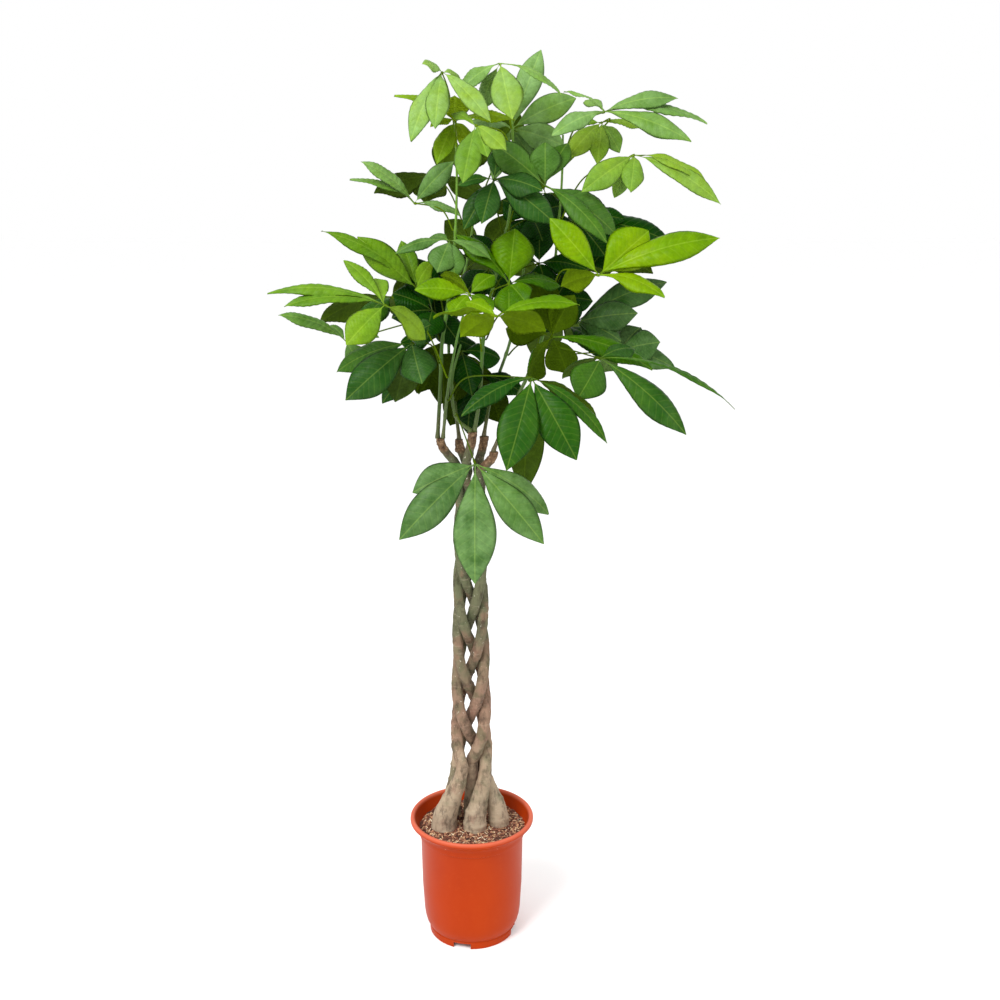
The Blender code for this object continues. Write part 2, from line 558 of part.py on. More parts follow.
def petiole_points(shoot, height, hub, sway):
    """The petiole: straight out of the shoot, then up in an arch to the hub."""
    stem, along, radius = at_height(*shoot, height)
    out = hub - stem
    out = (out - along * out.dot(along)).normalized()
    start = stem + out * (radius + GAP)
    neck = start + out * 0.003
    reach = hub - neck
    rise = neck + out * 0.25 * reach.length + UP * (0.55 * reach.z + 0.10 * reach.length) + sway
    return [start] + spline([neck, rise, hub], PETIOLE_STEPS)


def petiole_mesh(name, points, extra=0.0):
    last = len(points) - 1
    radii = [
        PETIOLE_BASE + (PETIOLE_TIP - PETIOLE_BASE) * i / last + extra for i in range(last + 1)
    ]
    return tube_mesh(name, points, radii, 6)


def sways():
    """Small sideways moves of a petiole's middle, nearest first."""
    for size in (0, 1, 2, 3, 4, 5):
        for turn in range(8 if size else 1):
            angle = math.tau * turn / 8
            yield Vector((math.sin(angle), -math.cos(angle), 0.5 * math.sin(angle))) * size * CM


def build_petioles(shoots, taken):
    petioles = {}
    for name, (shoot, height, hub, _) in LEAVES.items():
        place = Vector(hub) * CM
        for sway in sways():
            points = petiole_points(shoots[shoot], height * CM, place, sway)
            wide = petiole_mesh(name, points[1:], CLEAR)
            if is_free(wide, taken, shoot):
                break
        petioles[name] = petiole_mesh(name, points)
        taken.append((name, tree_of(petioles[name])))
    return petioles


def blade_face(ahead, lean):
    """The way a leaflet's top looks, square to the way it reaches."""
    face = UP * (1 - abs(lean)) + FRONT * lean
    return (face - ahead * face.dot(ahead)).normalized()


def blade_rings(hub, reach, width, lean, extra=0.0):
    """Rings of four points round a leaflet, between its two ends: edge, top, edge, underside."""
    ahead = reach.normalized()
    face = blade_face(ahead, lean)
    side = ahead.cross(face)
    arch = face * BLADE_ARCH * reach.length
    rings = []
    for share, fullness in BLADE_STATIONS:
        middle = hub + reach * share + arch * 4 * share * (1 - share)
        half = side * (width / 2 * fullness + extra)
        thick = face * (BLADE_HALF_THICKNESS + extra)
        rings.append([middle - half, middle + thick, middle + half, middle - thick])
    return [[hub]] + rings + [[hub + reach]]


def add_loft(shape, rings):
    """Joins rings of points, the first and last being single points, into a closed skin."""
    made = [[shape.verts.new(point) for point in ring] for ring in rings]
    for ring, after in zip(made, made[1:]):
        sides = max(len(ring), len(after))
        for i in range(sides):
            j = (i + 1) % sides
            low = [ring[i % len(ring)], ring[j % len(ring)]]
            high = [after[j % len(after)], after[i % len(after)]]
            corners = list(dict.fromkeys(low + high))
            shape.faces.new(corners)


def blade_mesh(name, rings):
    mesh = bpy.data.meshes.new(name)
    shape = bmesh.new()
    add_loft(shape, rings)
    bmesh.ops.recalc_face_normals(shape, faces=shape.faces)
    shape.to_mesh(mesh)
    shape.free()
    return mesh


def nudged(reach):
    """The leaflet's reach, then ever larger turns of it, in depth first, and shorter ones last."""
    for scale in SHORTER:
        for rise in NUDGES[:5]:
            for depth in NUDGES:
                moved = reach + Vector((0, depth * CM, rise * CM))
                yield moved.normalized() * reach.length * scale


def clear_blade(name, hub, row, taken):
    """A leaflet turned as little as keeps it off every other leaf."""
    *reach, width, lean = row
    reach = Vector(reach) * CM
    for place in nudged(reach):
        rings = blade_rings(hub, place, width * CM, lean, CLEAR)
        if is_free(blade_mesh("trial", rings), taken, name):
            return blade_rings(hub, place, width * CM, lean)
    raise ValueError(f"{name} has no room for the leaflet {row}")


def build_leaf(name, petiole, hub, rows, parts, cutters, materials, taken):
    shape = bmesh.new()
    bmesh.ops.create_icosphere(shape, subdivisions=1, radius=HUB_RADIUS)
    bmesh.ops.translate(shape, vec=hub, verts=shape.verts)
    for row in rows:
        rings = clear_blade(name, hub, row, taken)
        add_loft(shape, rings)
        taken.append((name, tree_of(blade_mesh("placed", rings))))
    bmesh.ops.recalc_face_normals(shape, faces=shape.faces)
    mesh = bpy.data.meshes.new(f"{name}_blades")
    shape.to_mesh(mesh)
    shape.free()
    leaf = add_object(name, petiole, parts, materials["glossy_leaf"])
    add_boolean(leaf, add_cutter(f"{name}_blades", mesh, cutters), "UNION", itself=True)


def main():
    clear_scene()
    parts = new_collection("potted_money_tree")
    cutters = new_collection("cutters")
    materials = make_materials()
    taken = []
    build_pot(parts, cutters, materials)
    soil = build_soil(parts, materials)
    tops = build_trunks(parts, cutters, materials, soil)
    shoots = build_shoots(parts, materials, tops, taken)
    petioles = build_petioles(shoots, taken)
    for name, (_, _, hub, rows) in LEAVES.items():
        build_leaf(name, petioles[name], Vector(hub) * CM, rows, parts, cutters, materials, taken)


main()
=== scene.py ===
"""The looks of the potted money tree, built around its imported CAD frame.

Metres, +Z up, -Y the front. Tables of places are in centimetres, and CM turns them into metres.
"""

import math
import random

import bmesh
import bpy
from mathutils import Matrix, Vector, noise

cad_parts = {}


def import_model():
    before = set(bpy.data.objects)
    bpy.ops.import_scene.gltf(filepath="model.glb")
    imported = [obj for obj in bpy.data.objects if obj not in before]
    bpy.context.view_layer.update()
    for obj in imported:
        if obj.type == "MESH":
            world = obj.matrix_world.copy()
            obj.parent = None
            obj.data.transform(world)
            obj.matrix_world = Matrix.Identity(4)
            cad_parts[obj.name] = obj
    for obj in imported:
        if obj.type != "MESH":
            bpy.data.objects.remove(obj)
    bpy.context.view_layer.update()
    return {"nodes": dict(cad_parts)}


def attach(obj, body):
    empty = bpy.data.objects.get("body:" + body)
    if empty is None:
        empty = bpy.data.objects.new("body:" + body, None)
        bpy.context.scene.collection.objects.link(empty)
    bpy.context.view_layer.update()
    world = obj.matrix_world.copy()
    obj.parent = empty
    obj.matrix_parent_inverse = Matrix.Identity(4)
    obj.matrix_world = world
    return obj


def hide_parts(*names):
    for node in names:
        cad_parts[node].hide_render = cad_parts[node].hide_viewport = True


SEED = 7
CM = 0.01
GAP = 0.0003
UP = Vector((0, 0, 1))
FRONT = Vector((0, -1, 0))

# Pot
POT_HEIGHT = 0.245
RIM_RADIUS = 0.120
MOUTH_RADIUS = 0.111
LIP_FOOT_RADIUS = 0.1035
BAND_RADIUS = 0.1025
STEP_HEIGHT = 0.207
SHOULDER_RADIUS = 0.0995
HEEL_RADIUS = 0.0925
HEEL_HEIGHT = 0.034
FOOT_RADIUS = 0.0845
FOOT_HEIGHT = 0.013
WALL = 0.003
FLOOR_HEIGHT = 0.013
PAD_RADIUS = 0.030
NOTCH_WIDTH = 0.034
NOTCH_HEIGHT = 0.0115
NOTCH_COUNT = 4
NOTCH_TURN = math.radians(-103)
POT_STEPS = 144

# Soil
SOIL_TOP = 0.222
SOIL_RADIUS = 0.1030
SKIRT_SHARE = 0.92
SKIRT_DEPTH = 0.012
CRUMB_COUNT = 1500
STRAW_COUNT = 700

# The corners and sides of a chip of bark
CORNERS = (
    (-1, -1, -1), (-1, 1, -1), (1, 1, -1), (1, -1, -1),
    (-1, -1, 1), (-1, 1, 1), (1, 1, 1), (1, -1, 1),
)
SIDES = ((0, 1, 2, 3), (7, 6, 5, 4), (0, 4, 5, 1), (1, 5, 6, 2), (2, 6, 7, 3), (3, 7, 4, 0))

# Braid
ROOT_DEPTH = 0.200
BRAID_START = 0.360
BRAID_TOP = 0.930
BRAID_TURN = 0.485
BRAID_PHASE_HEIGHT = 0.420
BRAID_PHASE = math.pi / 4
THICK = 0.0225
THIN = 0.0155
SIDE_SWING = 1.29
DEPTH_SWING = 1.07
ROOT_TAPER = 1.2
TRUNK_STEPS = 260
TRUNK_SIDES = 32
NECK = 0.004

TRUNKS = {
    "trunk_1": (-144, (-5.4, -0.4), 5.1, (-5.2, -0.8, 99.5)),
    "trunk_2": (72, (0.6, -1.0), 4.6, (2.6, 3.4, 99.0)),
    "trunk_3": (144, (5.3, 0.9), 4.2, (0.6, -2.6, 101.0)),
    "trunk_4": (0, (0.0, 3.6), 3.6, (4.4, -0.8, 97.0)),
    "trunk_5": (-72, (-4.2, 4.8), 3.8, (-2.0, 3.0, 98.5)),
}

SHOOTS = {
    "shoot_left": ("trunk_1", (-5.7, -0.6), 3.8, 1.8, [
        (-5.2, 0, 108), (-4.8, 0, 116), (-3.8, 0, 122.5), (-2.9, 0, 129),
        (-2.3, 0, 134.5), (-1.9, 0, 144), (-2, 0, 154)]),
    "shoot_low": ("trunk_1", (-4.7, -1.1), 3.2, 1.8, [
        (-4, -3, 106), (-3.2, -4, 111.5), (-1.9, -5, 118), (-0.8, -6, 122)]),
    "shoot_dark": ("trunk_3", (0.15, -2.8), 3.4, 2.0, [
        (-2.4, -2.8, 104), (-3, -1.5, 110), (-1.5, 1.5, 116)]),
    "shoot_centre": ("trunk_3", (1.0, -2.4), 3.8, 1.8, [
        (1.9, 0, 107), (2.3, 1, 114), (3, 0.5, 121.5), (4.5, 0, 127),
        (5.7, 0, 132.5), (7.1, 0, 138.5), (7.7, 0, 147), (7.5, 0, 154.5)]),
    "shoot_right": ("trunk_4", (4.4, -0.8), 3.8, 1.8, [
        (7.7, 2.5, 104.5), (11.5, 5, 112), (14, 6, 120), (15.2, 6, 129),
        (15.9, 5, 137.5), (16.3, 4, 144.5), (16.4, 4, 152)]),
    "shoot_back": ("trunk_5", (-2.0, 3.0), 3.6, 1.8, [
        (-3, 7, 106), (-4, 11, 115), (-2, 13, 124), (0, 14, 133), (1, 14, 141)]),
    "shoot_back_right": ("trunk_2", (2.6, 3.4), 3.6, 1.8, [
        (4, 8, 106), (7, 12, 114), (9, 14, 122), (10, 15, 130), (10, 15, 138)]),
}

LEAVES = {
    "leaf_front_low": ("shoot_dark", 104, (1.5, -24, 100), [
        (-10, -3, -4, 5.5, 0.7), (-12, -6, -11, 6, 0.7), (0, -7, -18, 7, 0.9),
        (11, -5, -12, 5.5, 0.7), (12, 2, -9, 5, 0.5)]),
    "leaf_front_right": ("shoot_low", 107, (10.5, -24, 114), [
        (-11, -6, -5, 4, 0.4), (-9, 1, -5, 5, -0.3), (-4, -9, -13, 6.5, 0.9),
        (7, -6, -12, 6.5, 0.8), (12, -3, -10, 3.5, 0.3), (11, 2, -8, 4, -0.5),
        (-1, 7, -21, 6, -0.6)]),
    "leaf_right_bright": ("shoot_right", 124, (21.5, -16, 129.5), [
        (8, 1, 7, 7.5, 0.85), (19, -2, 6, 5.5, 0.6), (-8, 1, 9, 5, 0.85), (10, -6, -3, 4, 0.4),
        (-6, 2, -2, 5, -0.6)]),
    "leaf_right_low": ("shoot_right", 110, (22, -16, 116), [
        (-4, -5, -6, 6.5, 0.9), (14, -4, -12, 5, 0.6), (22, -3, -8, 2.5, 0.1),
        (-6, 4, -4, 4, -0.4), (6, 4, 1, 4, 0.4)]),
    "leaf_left_low": ("shoot_low", 111, (-13.5, -14, 124.5), [
        (-16, -3, 0, 3.5, 0.4), (-19, -1, 2, 3, 0.4), (-6, -4, -6, 5.5, 0.85),
        (7, -5, -5, 5.5, -0.6), (-2, 5, 4, 3.5, 0.4), (-7, 4, 7, 3, 0.4)]),
    "leaf_left_high": ("shoot_left", 124, (-9, 0, 126), [
        (-16, -3, 10, 3, 0.45), (-10, -2, 9, 5, 0.85), (-3, 4, 8, 3.5, 0.5),
        (3, -3, 5, 3.5, 0.6)]),
    "leaf_left_under": ("shoot_left", 113, (-9.5, -8, 117.5), [
        (-11, -5, -9, 6.5, 0.8), (-13, 0, -5, 5, 0.5), (2, -6, -6, 6.5, 0.9),
        (-3, -1, -10, 6, -0.7), (2, 4, 4, 5.5, 0.5)]),
    "leaf_far_left": ("shoot_left", 119, (-21.5, -2, 117), [
        (-11, -4, 5, 3.5, 0.4), (4, -4, -5, 4.5, 0.8), (6, -2, 1, 3, 0.3), (-4, 6, 2, 2.5, 0.3)]),
    "leaf_side_left": ("shoot_left", 136, (-9.5, 4, 140.5), [
        (-9, -2, 7, 3, 0.5), (-11, -2, 4, 2.5, 0.3), (7, -2, 7, 4, 0.8), (8, -2, -2, 2.5, 0.4)]),
    "leaf_left_inner": ("shoot_left", 130, (-3, -6, 134.5), [
        (-2, -4, -5, 5, 0.9), (-9, -2, -2, 3, 0.4), (1, -3, -6, 4.5, 0.7), (7, -3, -3, 3.5, 0.3),
        (10, 0, -7, 3.5, 0.3), (-4, 4, 0, 4, 0.4)]),
    "leaf_tip_left": ("shoot_left", 150, (-2, -2, 154), [
        (0, 2, 4, 5, 0.95), (-10, -2, 4, 2.5, 0.4), (-4, -4, -1, 2.5, 0.4),
        (-3, -4, -7, 3.5, 0.7), (3, -3, -5, 3, 0.6), (10, -2, 0, 3, 0.45)]),
    "leaf_top_left": ("shoot_left", 152, (-4, -6, 161.5), [
        (-3, -3, 1, 3, 0.5), (-5, -4, -11, 4, 0.6), (-1, -5, -9, 4, 0.85), (8, -4, -8, 3.5, 0.6),
        (3, 3, -1, 3, 0.5)]),
    "leaf_tip_centre": ("shoot_centre", 152, (7.5, 3, 153), [
        (5, 2, 13, 4.5, 0.9), (11, 0, 5, 5, 0.75), (9, -3, -3, 5, 0.8), (-3, -4, -8, 3.5, 0.6),
        (-7, -2, 1, 3.5, 0.5), (4, 1, -6, 5, 0.85)]),
    "leaf_top_mid": ("shoot_centre", 153, (5.5, -4, 163), [
        (2, -5, -9, 5.5, 0.95), (-7, -1, -5, 3.5, 0.5), (10, -2, -5, 2.5, 0.3),
        (-3, 3, -7, 3.5, 0.6)]),
    "leaf_drooping": ("shoot_centre", 149, (1.5, -9, 153), [
        (-2, -4, -9, 4.5, 0.85), (2, -3, -5, 3.5, 0.7), (5, -3, -4, 3.5, 0.6),
        (-4, 3, 2, 2.5, 0.4)]),
    "leaf_upper_fan": ("shoot_centre", 136, (13, -6, 143.5), [
        (0, 1, 7, 5.5, 0.95), (10, -6, -9, 4, 0.5), (12, 0, -8, 6, 0.6), (-9, 2, 7, 5.5, 0.75),
        (4, 4, 7, 4, 0.5)]),
    "leaf_upper_star": ("shoot_centre", 135, (4.5, -6, 144.5), [
        (-5, -4, -8, 4, 0.8), (9, -1, -2, 5, 0.6), (10, -4, -7, 5.5, 0.7), (-6, 0, -1, 3, 0.4),
        (-2, -6, -7, 4.5, 0.85), (1, 4, 5, 3.5, 0.4)]),
    "leaf_round": ("shoot_centre", 122, (7, -8, 127.5), [
        (1, 2, 9, 7.5, 0.95), (-9, 3, 8, 4.5, 0.4), (3, -4, -3, 5, 0.7), (0, -5, -5, 5.5, 0.8),
        (9, 6, -1, 5, 0.4)]),
    "leaf_front": ("shoot_centre", 118, (5, -22, 123.5), [
        (13, -2, 2, 4, 0.35), (-5, 3, 2, 3.5, 0.5), (-10, -2, 0, 3, -0.3), (-6, 6, -4, 5, -0.7),
        (8, 6, -3, 5, -0.7)]),
    "leaf_left_bright": ("shoot_centre", 115, (0.5, -12, 126), [
        (-9, -2, 1, 4.5, 0.55), (-5, 3, 3, 5, -0.5), (4, 3, 3, 4, 0.5), (-3, -4, -3, 4.5, 0.5),
        (4, -4, -2, 3.5, 0.4)]),
    "leaf_top_right": ("shoot_right", 149, (23, -2, 155.5), [
        (12, -2, 2, 3.5, 0.6), (17, -2, -2, 3, 0.4), (14, -5, -5, 4, 0.65),
        (-9, -4, -4, 3.5, 0.6), (-7, -2, 3, 1.5, 0.3), (-3, 5, 2, 3, 0.4)]),
    "leaf_tip_right": ("shoot_right", 147, (23, 4, 154), [
        (-6, -5, -6, 4, 0.7), (-1, -5, -7, 3.5, 0.85), (3, -3, -5, 3.5, 0.8),
        (-5, 2, -1, 2.5, 0.4), (7, 2, -1, 2.5, 0.4)]),
    "leaf_side_right": ("shoot_right", 138, (28, -4, 148.5), [
        (12, -4, -5, 3, 0.4), (14, -5, -8, 3.5, 0.6), (-9, -4, -6, 4.5, 0.8),
        (-1, -5, -6, 4, 0.85), (-3, 2, -7, 3, 0.6)]),
    "leaf_star": ("shoot_right", 129, (19, 6, 137.5), [
        (5, -4, -6, 6.5, 0.85), (9, -2, 0, 4.5, 0.5), (17, -2, -4, 5.5, 0.6),
        (-7, -1, -3, 5.5, 0.6), (2, 3, 5, 5.5, 0.7)]),
    "leaf_right_mid": ("shoot_right", 114, (14.5, -4, 118), [
        (17, -5, -5, 5, 0.4), (-3, 3, 11, 6.5, -0.8), (-8, -4, 2, 6, -0.7),
        (-4, -5, -7, 6.5, -0.5), (3, 3, -7, 6, -0.6), (4, 3, 7, 6, -0.7)]),
    "leaf_right_far": ("shoot_right", 120, (19.5, 10, 119), [
        (17, 4, 7, 6, 0.55), (11, -3, 2, 6, 0.7), (8, -4, -3, 5, 0.5), (6, -3, -5, 4.5, 0.5),
        (-4, 5, 3, 4, 0.4)]),
    "leaf_right_under": ("shoot_right", 113, (27.5, 8, 114), [
        (7, -3, 2, 6, 0.7), (10, -2, -3, 4.5, 0.5), (4, 3, 4, 5.5, 0.5), (-3, 0, -4, 5.5, -0.4)]),
    "leaf_centre": ("shoot_centre", 124, (12.5, 6, 130), [
        (0, 2, 7, 5.5, 0.8), (9, -2, -1, 5.5, 0.5), (1, -5, -4, 5, 0.6), (-6, 3, 0, 4.5, 0.4)]),
    "leaf_mid_left": ("shoot_left", 117, (-6.5, 2, 122), [
        (-7, 0, 3, 6, 0.6), (-7, -3, -1, 5.5, 0.6), (-3, 3, 9, 6.5, 0.7), (4, -4, -5, 5.5, 0.6),
        (-1, -5, -6, 6, 0.7)]),
    "leaf_inner_low": ("shoot_dark", 109, (-1.5, 4, 114.5), [
        (-3, -4, -9, 8, -0.8), (2, -6, -7, 5.5, 0.5), (5, 1, -15, 7, -0.6), (-7, 3, -7, 7, -0.6),
        (7, 4, -2, 5.5, 0.5)]),
    "leaf_centre_dark": ("shoot_centre", 119, (3.5, 6, 129), [
        (-3, 1, 6, 5.5, 0.7), (-4, -2, -4, 6, 0.6), (3, -3, -5, 5.5, 0.5), (5, 4, 3, 5.5, 0.4)]),
    "leaf_low_dark": ("shoot_dark", 107, (1.5, 9, 109.5), [
        (-2, -1, -11, 6.5, 0.3), (4, 3, -9, 6.5, -0.6), (-5, 4, -9, 7, -0.5),
        (7, 5, -3, 5.5, 0.4)]),
    "leaf_mid_dark": ("shoot_centre", 117, (15.5, 9, 123), [
        (-5, 1, 5, 6, 0.6), (2, -2, -6, 6, 0.5), (7, 0, 0, 5.5, 0.5), (-3, -3, -5, 6, 0.6),
        (4, 4, 5, 5.5, 0.5)]),
    "leaf_upper_dark": ("shoot_centre", 131, (11, 8, 138), [
        (-5, 0, 3, 6.5, 0.6), (6, 1, 2, 6.5, 0.6), (3, -3, -6, 6.5, 0.6), (-3, -2, -5, 6, 0.6),
        (9, 2, -3, 6, 0.5)]),
    "leaf_left_dark": ("shoot_left", 121, (-7, 8, 126.5), [
        (3, 0, 4, 6, 0.6), (1, -3, -6, 6, 0.5), (-6, 1, -3, 5.5, 0.4), (5, 1, -4, 5.5, 0.5),
        (-5, 3, 3, 5.5, 0.5)]),
    "leaf_right_dark": ("shoot_right", 126, (26, 8, 133.5), [
        (-4, -1, -4, 6, 0.6), (5, 0, 3, 5.5, 0.5), (-2, 3, 6, 5.5, 0.5), (6, 1, -4, 5.5, 0.5)]),
    "leaf_under_left": ("shoot_low", 104, (-5, 10, 116), [
        (-5, 1, -10, 7, -0.6), (-8, 2, -1, 6, 0.4), (6, 2, -2, 6, 0.4), (0, 3, 7, 5.5, 0.5)]),
    "leaf_back_low": ("shoot_back", 107, (-8, 20, 110), [
        (-12, 4, -6, 7, -0.4), (-3, 12, -8, 7.5, -0.3), (7, 9, -9, 7, -0.4),
        (-9, -5, -7, 6.5, 0.3), (5, -2, -9, 6, 0.3)]),
    "leaf_back_left": ("shoot_back", 115, (-15, 17, 123), [
        (-14, 2, -5, 7, -0.5), (-9, 11, -6, 7, -0.4), (3, 12, -6, 7, -0.3),
        (-5, -9, -5, 6, 0.3), (6, 2, 5, 6, -0.5)]),
    "leaf_back_mid": ("shoot_back", 123, (2, 24, 130), [
        (-10, 8, -5, 7, -0.4), (2, 13, -6, 7.5, -0.3), (12, 7, -5, 7, -0.4),
        (6, -3, 8, 6, -0.7), (-7, -2, 7, 6, -0.7)]),
    "leaf_back_high": ("shoot_back", 134, (-6, 16, 145), [
        (-12, 3, -3, 6, -0.5), (-3, 10, -5, 6.5, -0.4), (9, 5, -5, 6, -0.4),
        (3, -3, 7, 5.5, -0.7)]),
    "leaf_back_tip": ("shoot_back", 140, (5, 14, 150), [
        (-8, 5, -3, 5.5, -0.5), (2, 10, -3, 6, -0.4), (10, 4, -4, 5.5, -0.5),
        (4, -3, 6, 5, -0.7)]),
    "leaf_back_right": ("shoot_back_right", 113, (18, 22, 117), [
        (14, 4, -5, 7, -0.4), (7, 12, -6, 7.5, -0.3), (-6, 11, -7, 7, -0.3),
        (9, -8, -6, 6.5, 0.3), (-4, -3, 7, 6, -0.7)]),
    "leaf_back_side": ("shoot_back_right", 121, (22, 18, 131), [
        (13, 5, -4, 6.5, -0.5), (5, 12, -5, 7, -0.4), (-8, 8, 4, 6, -0.6),
        (12, -5, 2, 6, 0.4), (-2, -3, 9, 6, -0.7)]),
    "leaf_back_crown": ("shoot_back_right", 133, (14, 20, 142), [
        (12, 3, -4, 6, -0.5), (3, 11, -5, 6.5, -0.4), (-9, 6, -4, 6, -0.4),
        (-3, -3, 7, 5.5, -0.7)]),
}

# Leaf make-up
PETIOLE_BASE = 0.0016
PETIOLE_TIP = 0.0011
HUB_RADIUS = 0.0024
PETIOLE_SIDES = 8
PETIOLE_STEPS = 4
BLADE_ARCH = 0.12
BLADE_SIDE_STEPS = 6
BLADE_THICKNESS = 0.0006
PETIOLULE = 0.07
SIDE_VEINS = 13
STEPS_PER_VEIN = 4
VEIN_SLANT = 0.75
PLEAT = 0.0022
NUDGES = (0, 2, -2, 4, -4, 6, -6, 8, -8)
SHORTER = (1.0, 0.85, 0.7, 0.5)

# How yellow-green each leaf is, from 0, an old dark leaf, to 1, a young bright one, and how much painted
# sheen, a pale grey-green standing in for light glancing off the leaf, covers it.
TONES = {
    "leaf_front_low": (0.36, 0.55), "leaf_front_right": (0.34, 0.05),
    "leaf_right_bright": (0.84, 0.0), "leaf_right_low": (0.36, 0.12),
    "leaf_left_low": (0.72, 0.15), "leaf_left_high": (0.70, 0.10),
    "leaf_left_under": (0.32, 0.15), "leaf_far_left": (0.60, 0.40),
    "leaf_side_left": (0.60, 0.60), "leaf_left_inner": (0.50, 0.40),
    "leaf_tip_left": (0.92, 0.05), "leaf_top_left": (0.84, 0.85),
    "leaf_tip_centre": (0.64, 0.75), "leaf_top_mid": (0.80, 0.90),
    "leaf_drooping": (0.84, 0.35), "leaf_upper_fan": (0.50, 0.20),
    "leaf_upper_star": (0.24, 0.10), "leaf_round": (0.60, 0.0),
    "leaf_front": (0.74, 0.0), "leaf_left_bright": (0.66, 0.0),
    "leaf_top_right": (0.70, 0.80), "leaf_tip_right": (0.80, 0.30),
    "leaf_side_right": (0.80, 0.35), "leaf_star": (0.18, 0.0),
    "leaf_right_mid": (0.50, 0.0), "leaf_right_far": (0.24, 0.35),
    "leaf_right_under": (0.28, 0.40), "leaf_centre": (0.12, 0.0),
    "leaf_mid_left": (0.16, 0.0), "leaf_inner_low": (0.22, 0.0),
    "leaf_centre_dark": (0.06, 0.0), "leaf_low_dark": (0.10, 0.0),
    "leaf_mid_dark": (0.08, 0.0), "leaf_upper_dark": (0.08, 0.0),
    "leaf_left_dark": (0.08, 0.0), "leaf_right_dark": (0.08, 0.0),
    "leaf_under_left": (0.12, 0.0),
}
BACK_TONES = (0.34, 0.05)
# Pale grey-green of the painted sheen: light glancing off the tops of the leaves.
PAINTED_SHEEN_COLOUR = (132, 168, 104)

# Camera and light
CAMERA_PLACE = (0.055, -2.2, 1.445)
CAMERA_PITCH = math.radians(90 - 14.45)
CAMERA_LENS = 44.75
WORLD_STRENGTH = 1.0
KEY_PLACE = (-1.6, -2.2, 3.2)
KEY_SIZE = 1.6
KEY_POWER = 130
FILL_PLACE = (2.2, -1.6, 2.0)
FILL_SIZE = 2.0
FILL_POWER = 20
LIGHT_TARGET = Vector((0, 0, 1.0))
FLOOR_SIZE = 30.0


def linear(colour):
    """An sRGB colour from 0 to 255 as the shader wants it."""
    shares = [level / 255 for level in colour]
    return [c / 12.92 if c < 0.04045 else ((c + 0.055) / 1.055) ** 2.4 for c in shares] + [1]


class Nodes:
    """A short way of writing a material's nodes."""

    def __init__(self, name):
        self.material = bpy.data.materials.new(name)
        self.material.use_nodes = True
        self.tree = self.material.node_tree
        self.shader = self.tree.nodes["Principled BSDF"]

    def add(self, kind, **settings):
        node = self.tree.nodes.new(kind)
        for name, value in settings.items():
            setattr(node, name, value)
        return node

    def link(self, start, end):
        self.tree.links.new(start, end)

    def math(self, operation, first, second=None, clamp=False):
        node = self.add("ShaderNodeMath", operation=operation, use_clamp=clamp)
        for socket, value in zip(node.inputs, (first, second)):
            self.feed(socket, value)
        return node.outputs[0]

    def feed(self, socket, value):
        if value is None:
            return
        if isinstance(value, bpy.types.NodeSocket):
            self.link(value, socket)
        else:
            socket.default_value = value

    def noise(self, scale, detail=4.0, roughness=0.55, vector=None, stretch=None):
        if vector is None:
            vector = self.add("ShaderNodeTexCoord").outputs["Object"]
        if stretch:
            mapping = self.add("ShaderNodeMapping")
            mapping.inputs["Scale"].default_value = stretch
            self.link(vector, mapping.inputs["Vector"])
            vector = mapping.outputs["Vector"]
        node = self.add("ShaderNodeTexNoise")
        node.inputs["Scale"].default_value = scale
        node.inputs["Detail"].default_value = detail
        node.inputs["Roughness"].default_value = roughness
        self.link(vector, node.inputs["Vector"])
        return node.outputs["Fac"]

    def ramp(self, value, stops):
        node = self.add("ShaderNodeValToRGB")
        elements = node.color_ramp.elements
        while len(elements) < len(stops):
            elements.new(0.5)
        for element, (place, colour) in zip(elements, stops):
            element.position = place
            element.color = linear(colour)
        self.link(value, node.inputs["Fac"])
        return node.outputs["Color"]

    def mix(self, share, first, second, blend="MIX"):
        node = self.add("ShaderNodeMix", data_type="RGBA", blend_type=blend)
        self.feed(node.inputs["Factor"], share)
        for socket, value in ((node.inputs[6], first), (node.inputs[7], second)):
            self.feed(socket, value)
        return node.outputs[2]

    def tint(self, share, base, colour):
        """The base with a share of an sRGB colour, from 0 to 255, laid over it."""
        return self.mix(share, base, tuple(linear(colour)))

    def span(self, value, low, high, start=0.0, end=1.0):
        node = self.add("ShaderNodeMapRange")
        self.link(value, node.inputs["Value"])
        for name, number in (("From Min", low), ("From Max", high), ("To Min", start), ("To Max", end)):
            node.inputs[name].default_value = number
        return node.outputs["Result"]

    def bump(self, height, strength, distance):
        node = self.add("ShaderNodeBump")
        node.inputs["Strength"].default_value = strength
        node.inputs["Distance"].default_value = distance
        self.link(height, node.inputs["Height"])
        self.link(node.outputs["Normal"], self.shader.inputs["Normal"])


def plastic_material():
    """Moulded terracotta plastic: a faint swirl, fine grain and a painted highlight, a paler tint on the
    rim top.
    """
    nodes = Nodes("terracotta_plastic")
    swirl = nodes.noise(7.0, 4.0, stretch=(1, 1, 0.5))
    colour = nodes.ramp(swirl, [(0.3, (152, 44, 0)), (0.7, (164, 52, 0))])
    dust = nodes.span(nodes.noise(90.0, 6.0, 0.7), 0.55, 0.75, 0.0, 0.2)
    colour = nodes.tint(dust, colour, (172, 70, 16))
    place = nodes.add("ShaderNodeSeparateXYZ")
    nodes.link(nodes.add("ShaderNodeTexCoord").outputs["Object"], place.inputs[0])
    # Painted highlight: the top of the rim is tinted paler salmon for the light it catches.
    rim_highlight = nodes.span(place.outputs["Z"], POT_HEIGHT - 0.007, POT_HEIGHT - 0.001, 0.0, 0.75)
    colour = nodes.tint(rim_highlight, colour, (204, 104, 78))
    nodes.link(colour, nodes.shader.inputs["Base Color"])
    nodes.link(nodes.span(swirl, 0.2, 0.8, 0.36, 0.48), nodes.shader.inputs["Roughness"])
    nodes.shader.inputs["Specular IOR Level"].default_value = 0.1
    nodes.bump(nodes.noise(420.0, 3.0), 0.12, 0.0004)
    return nodes.material


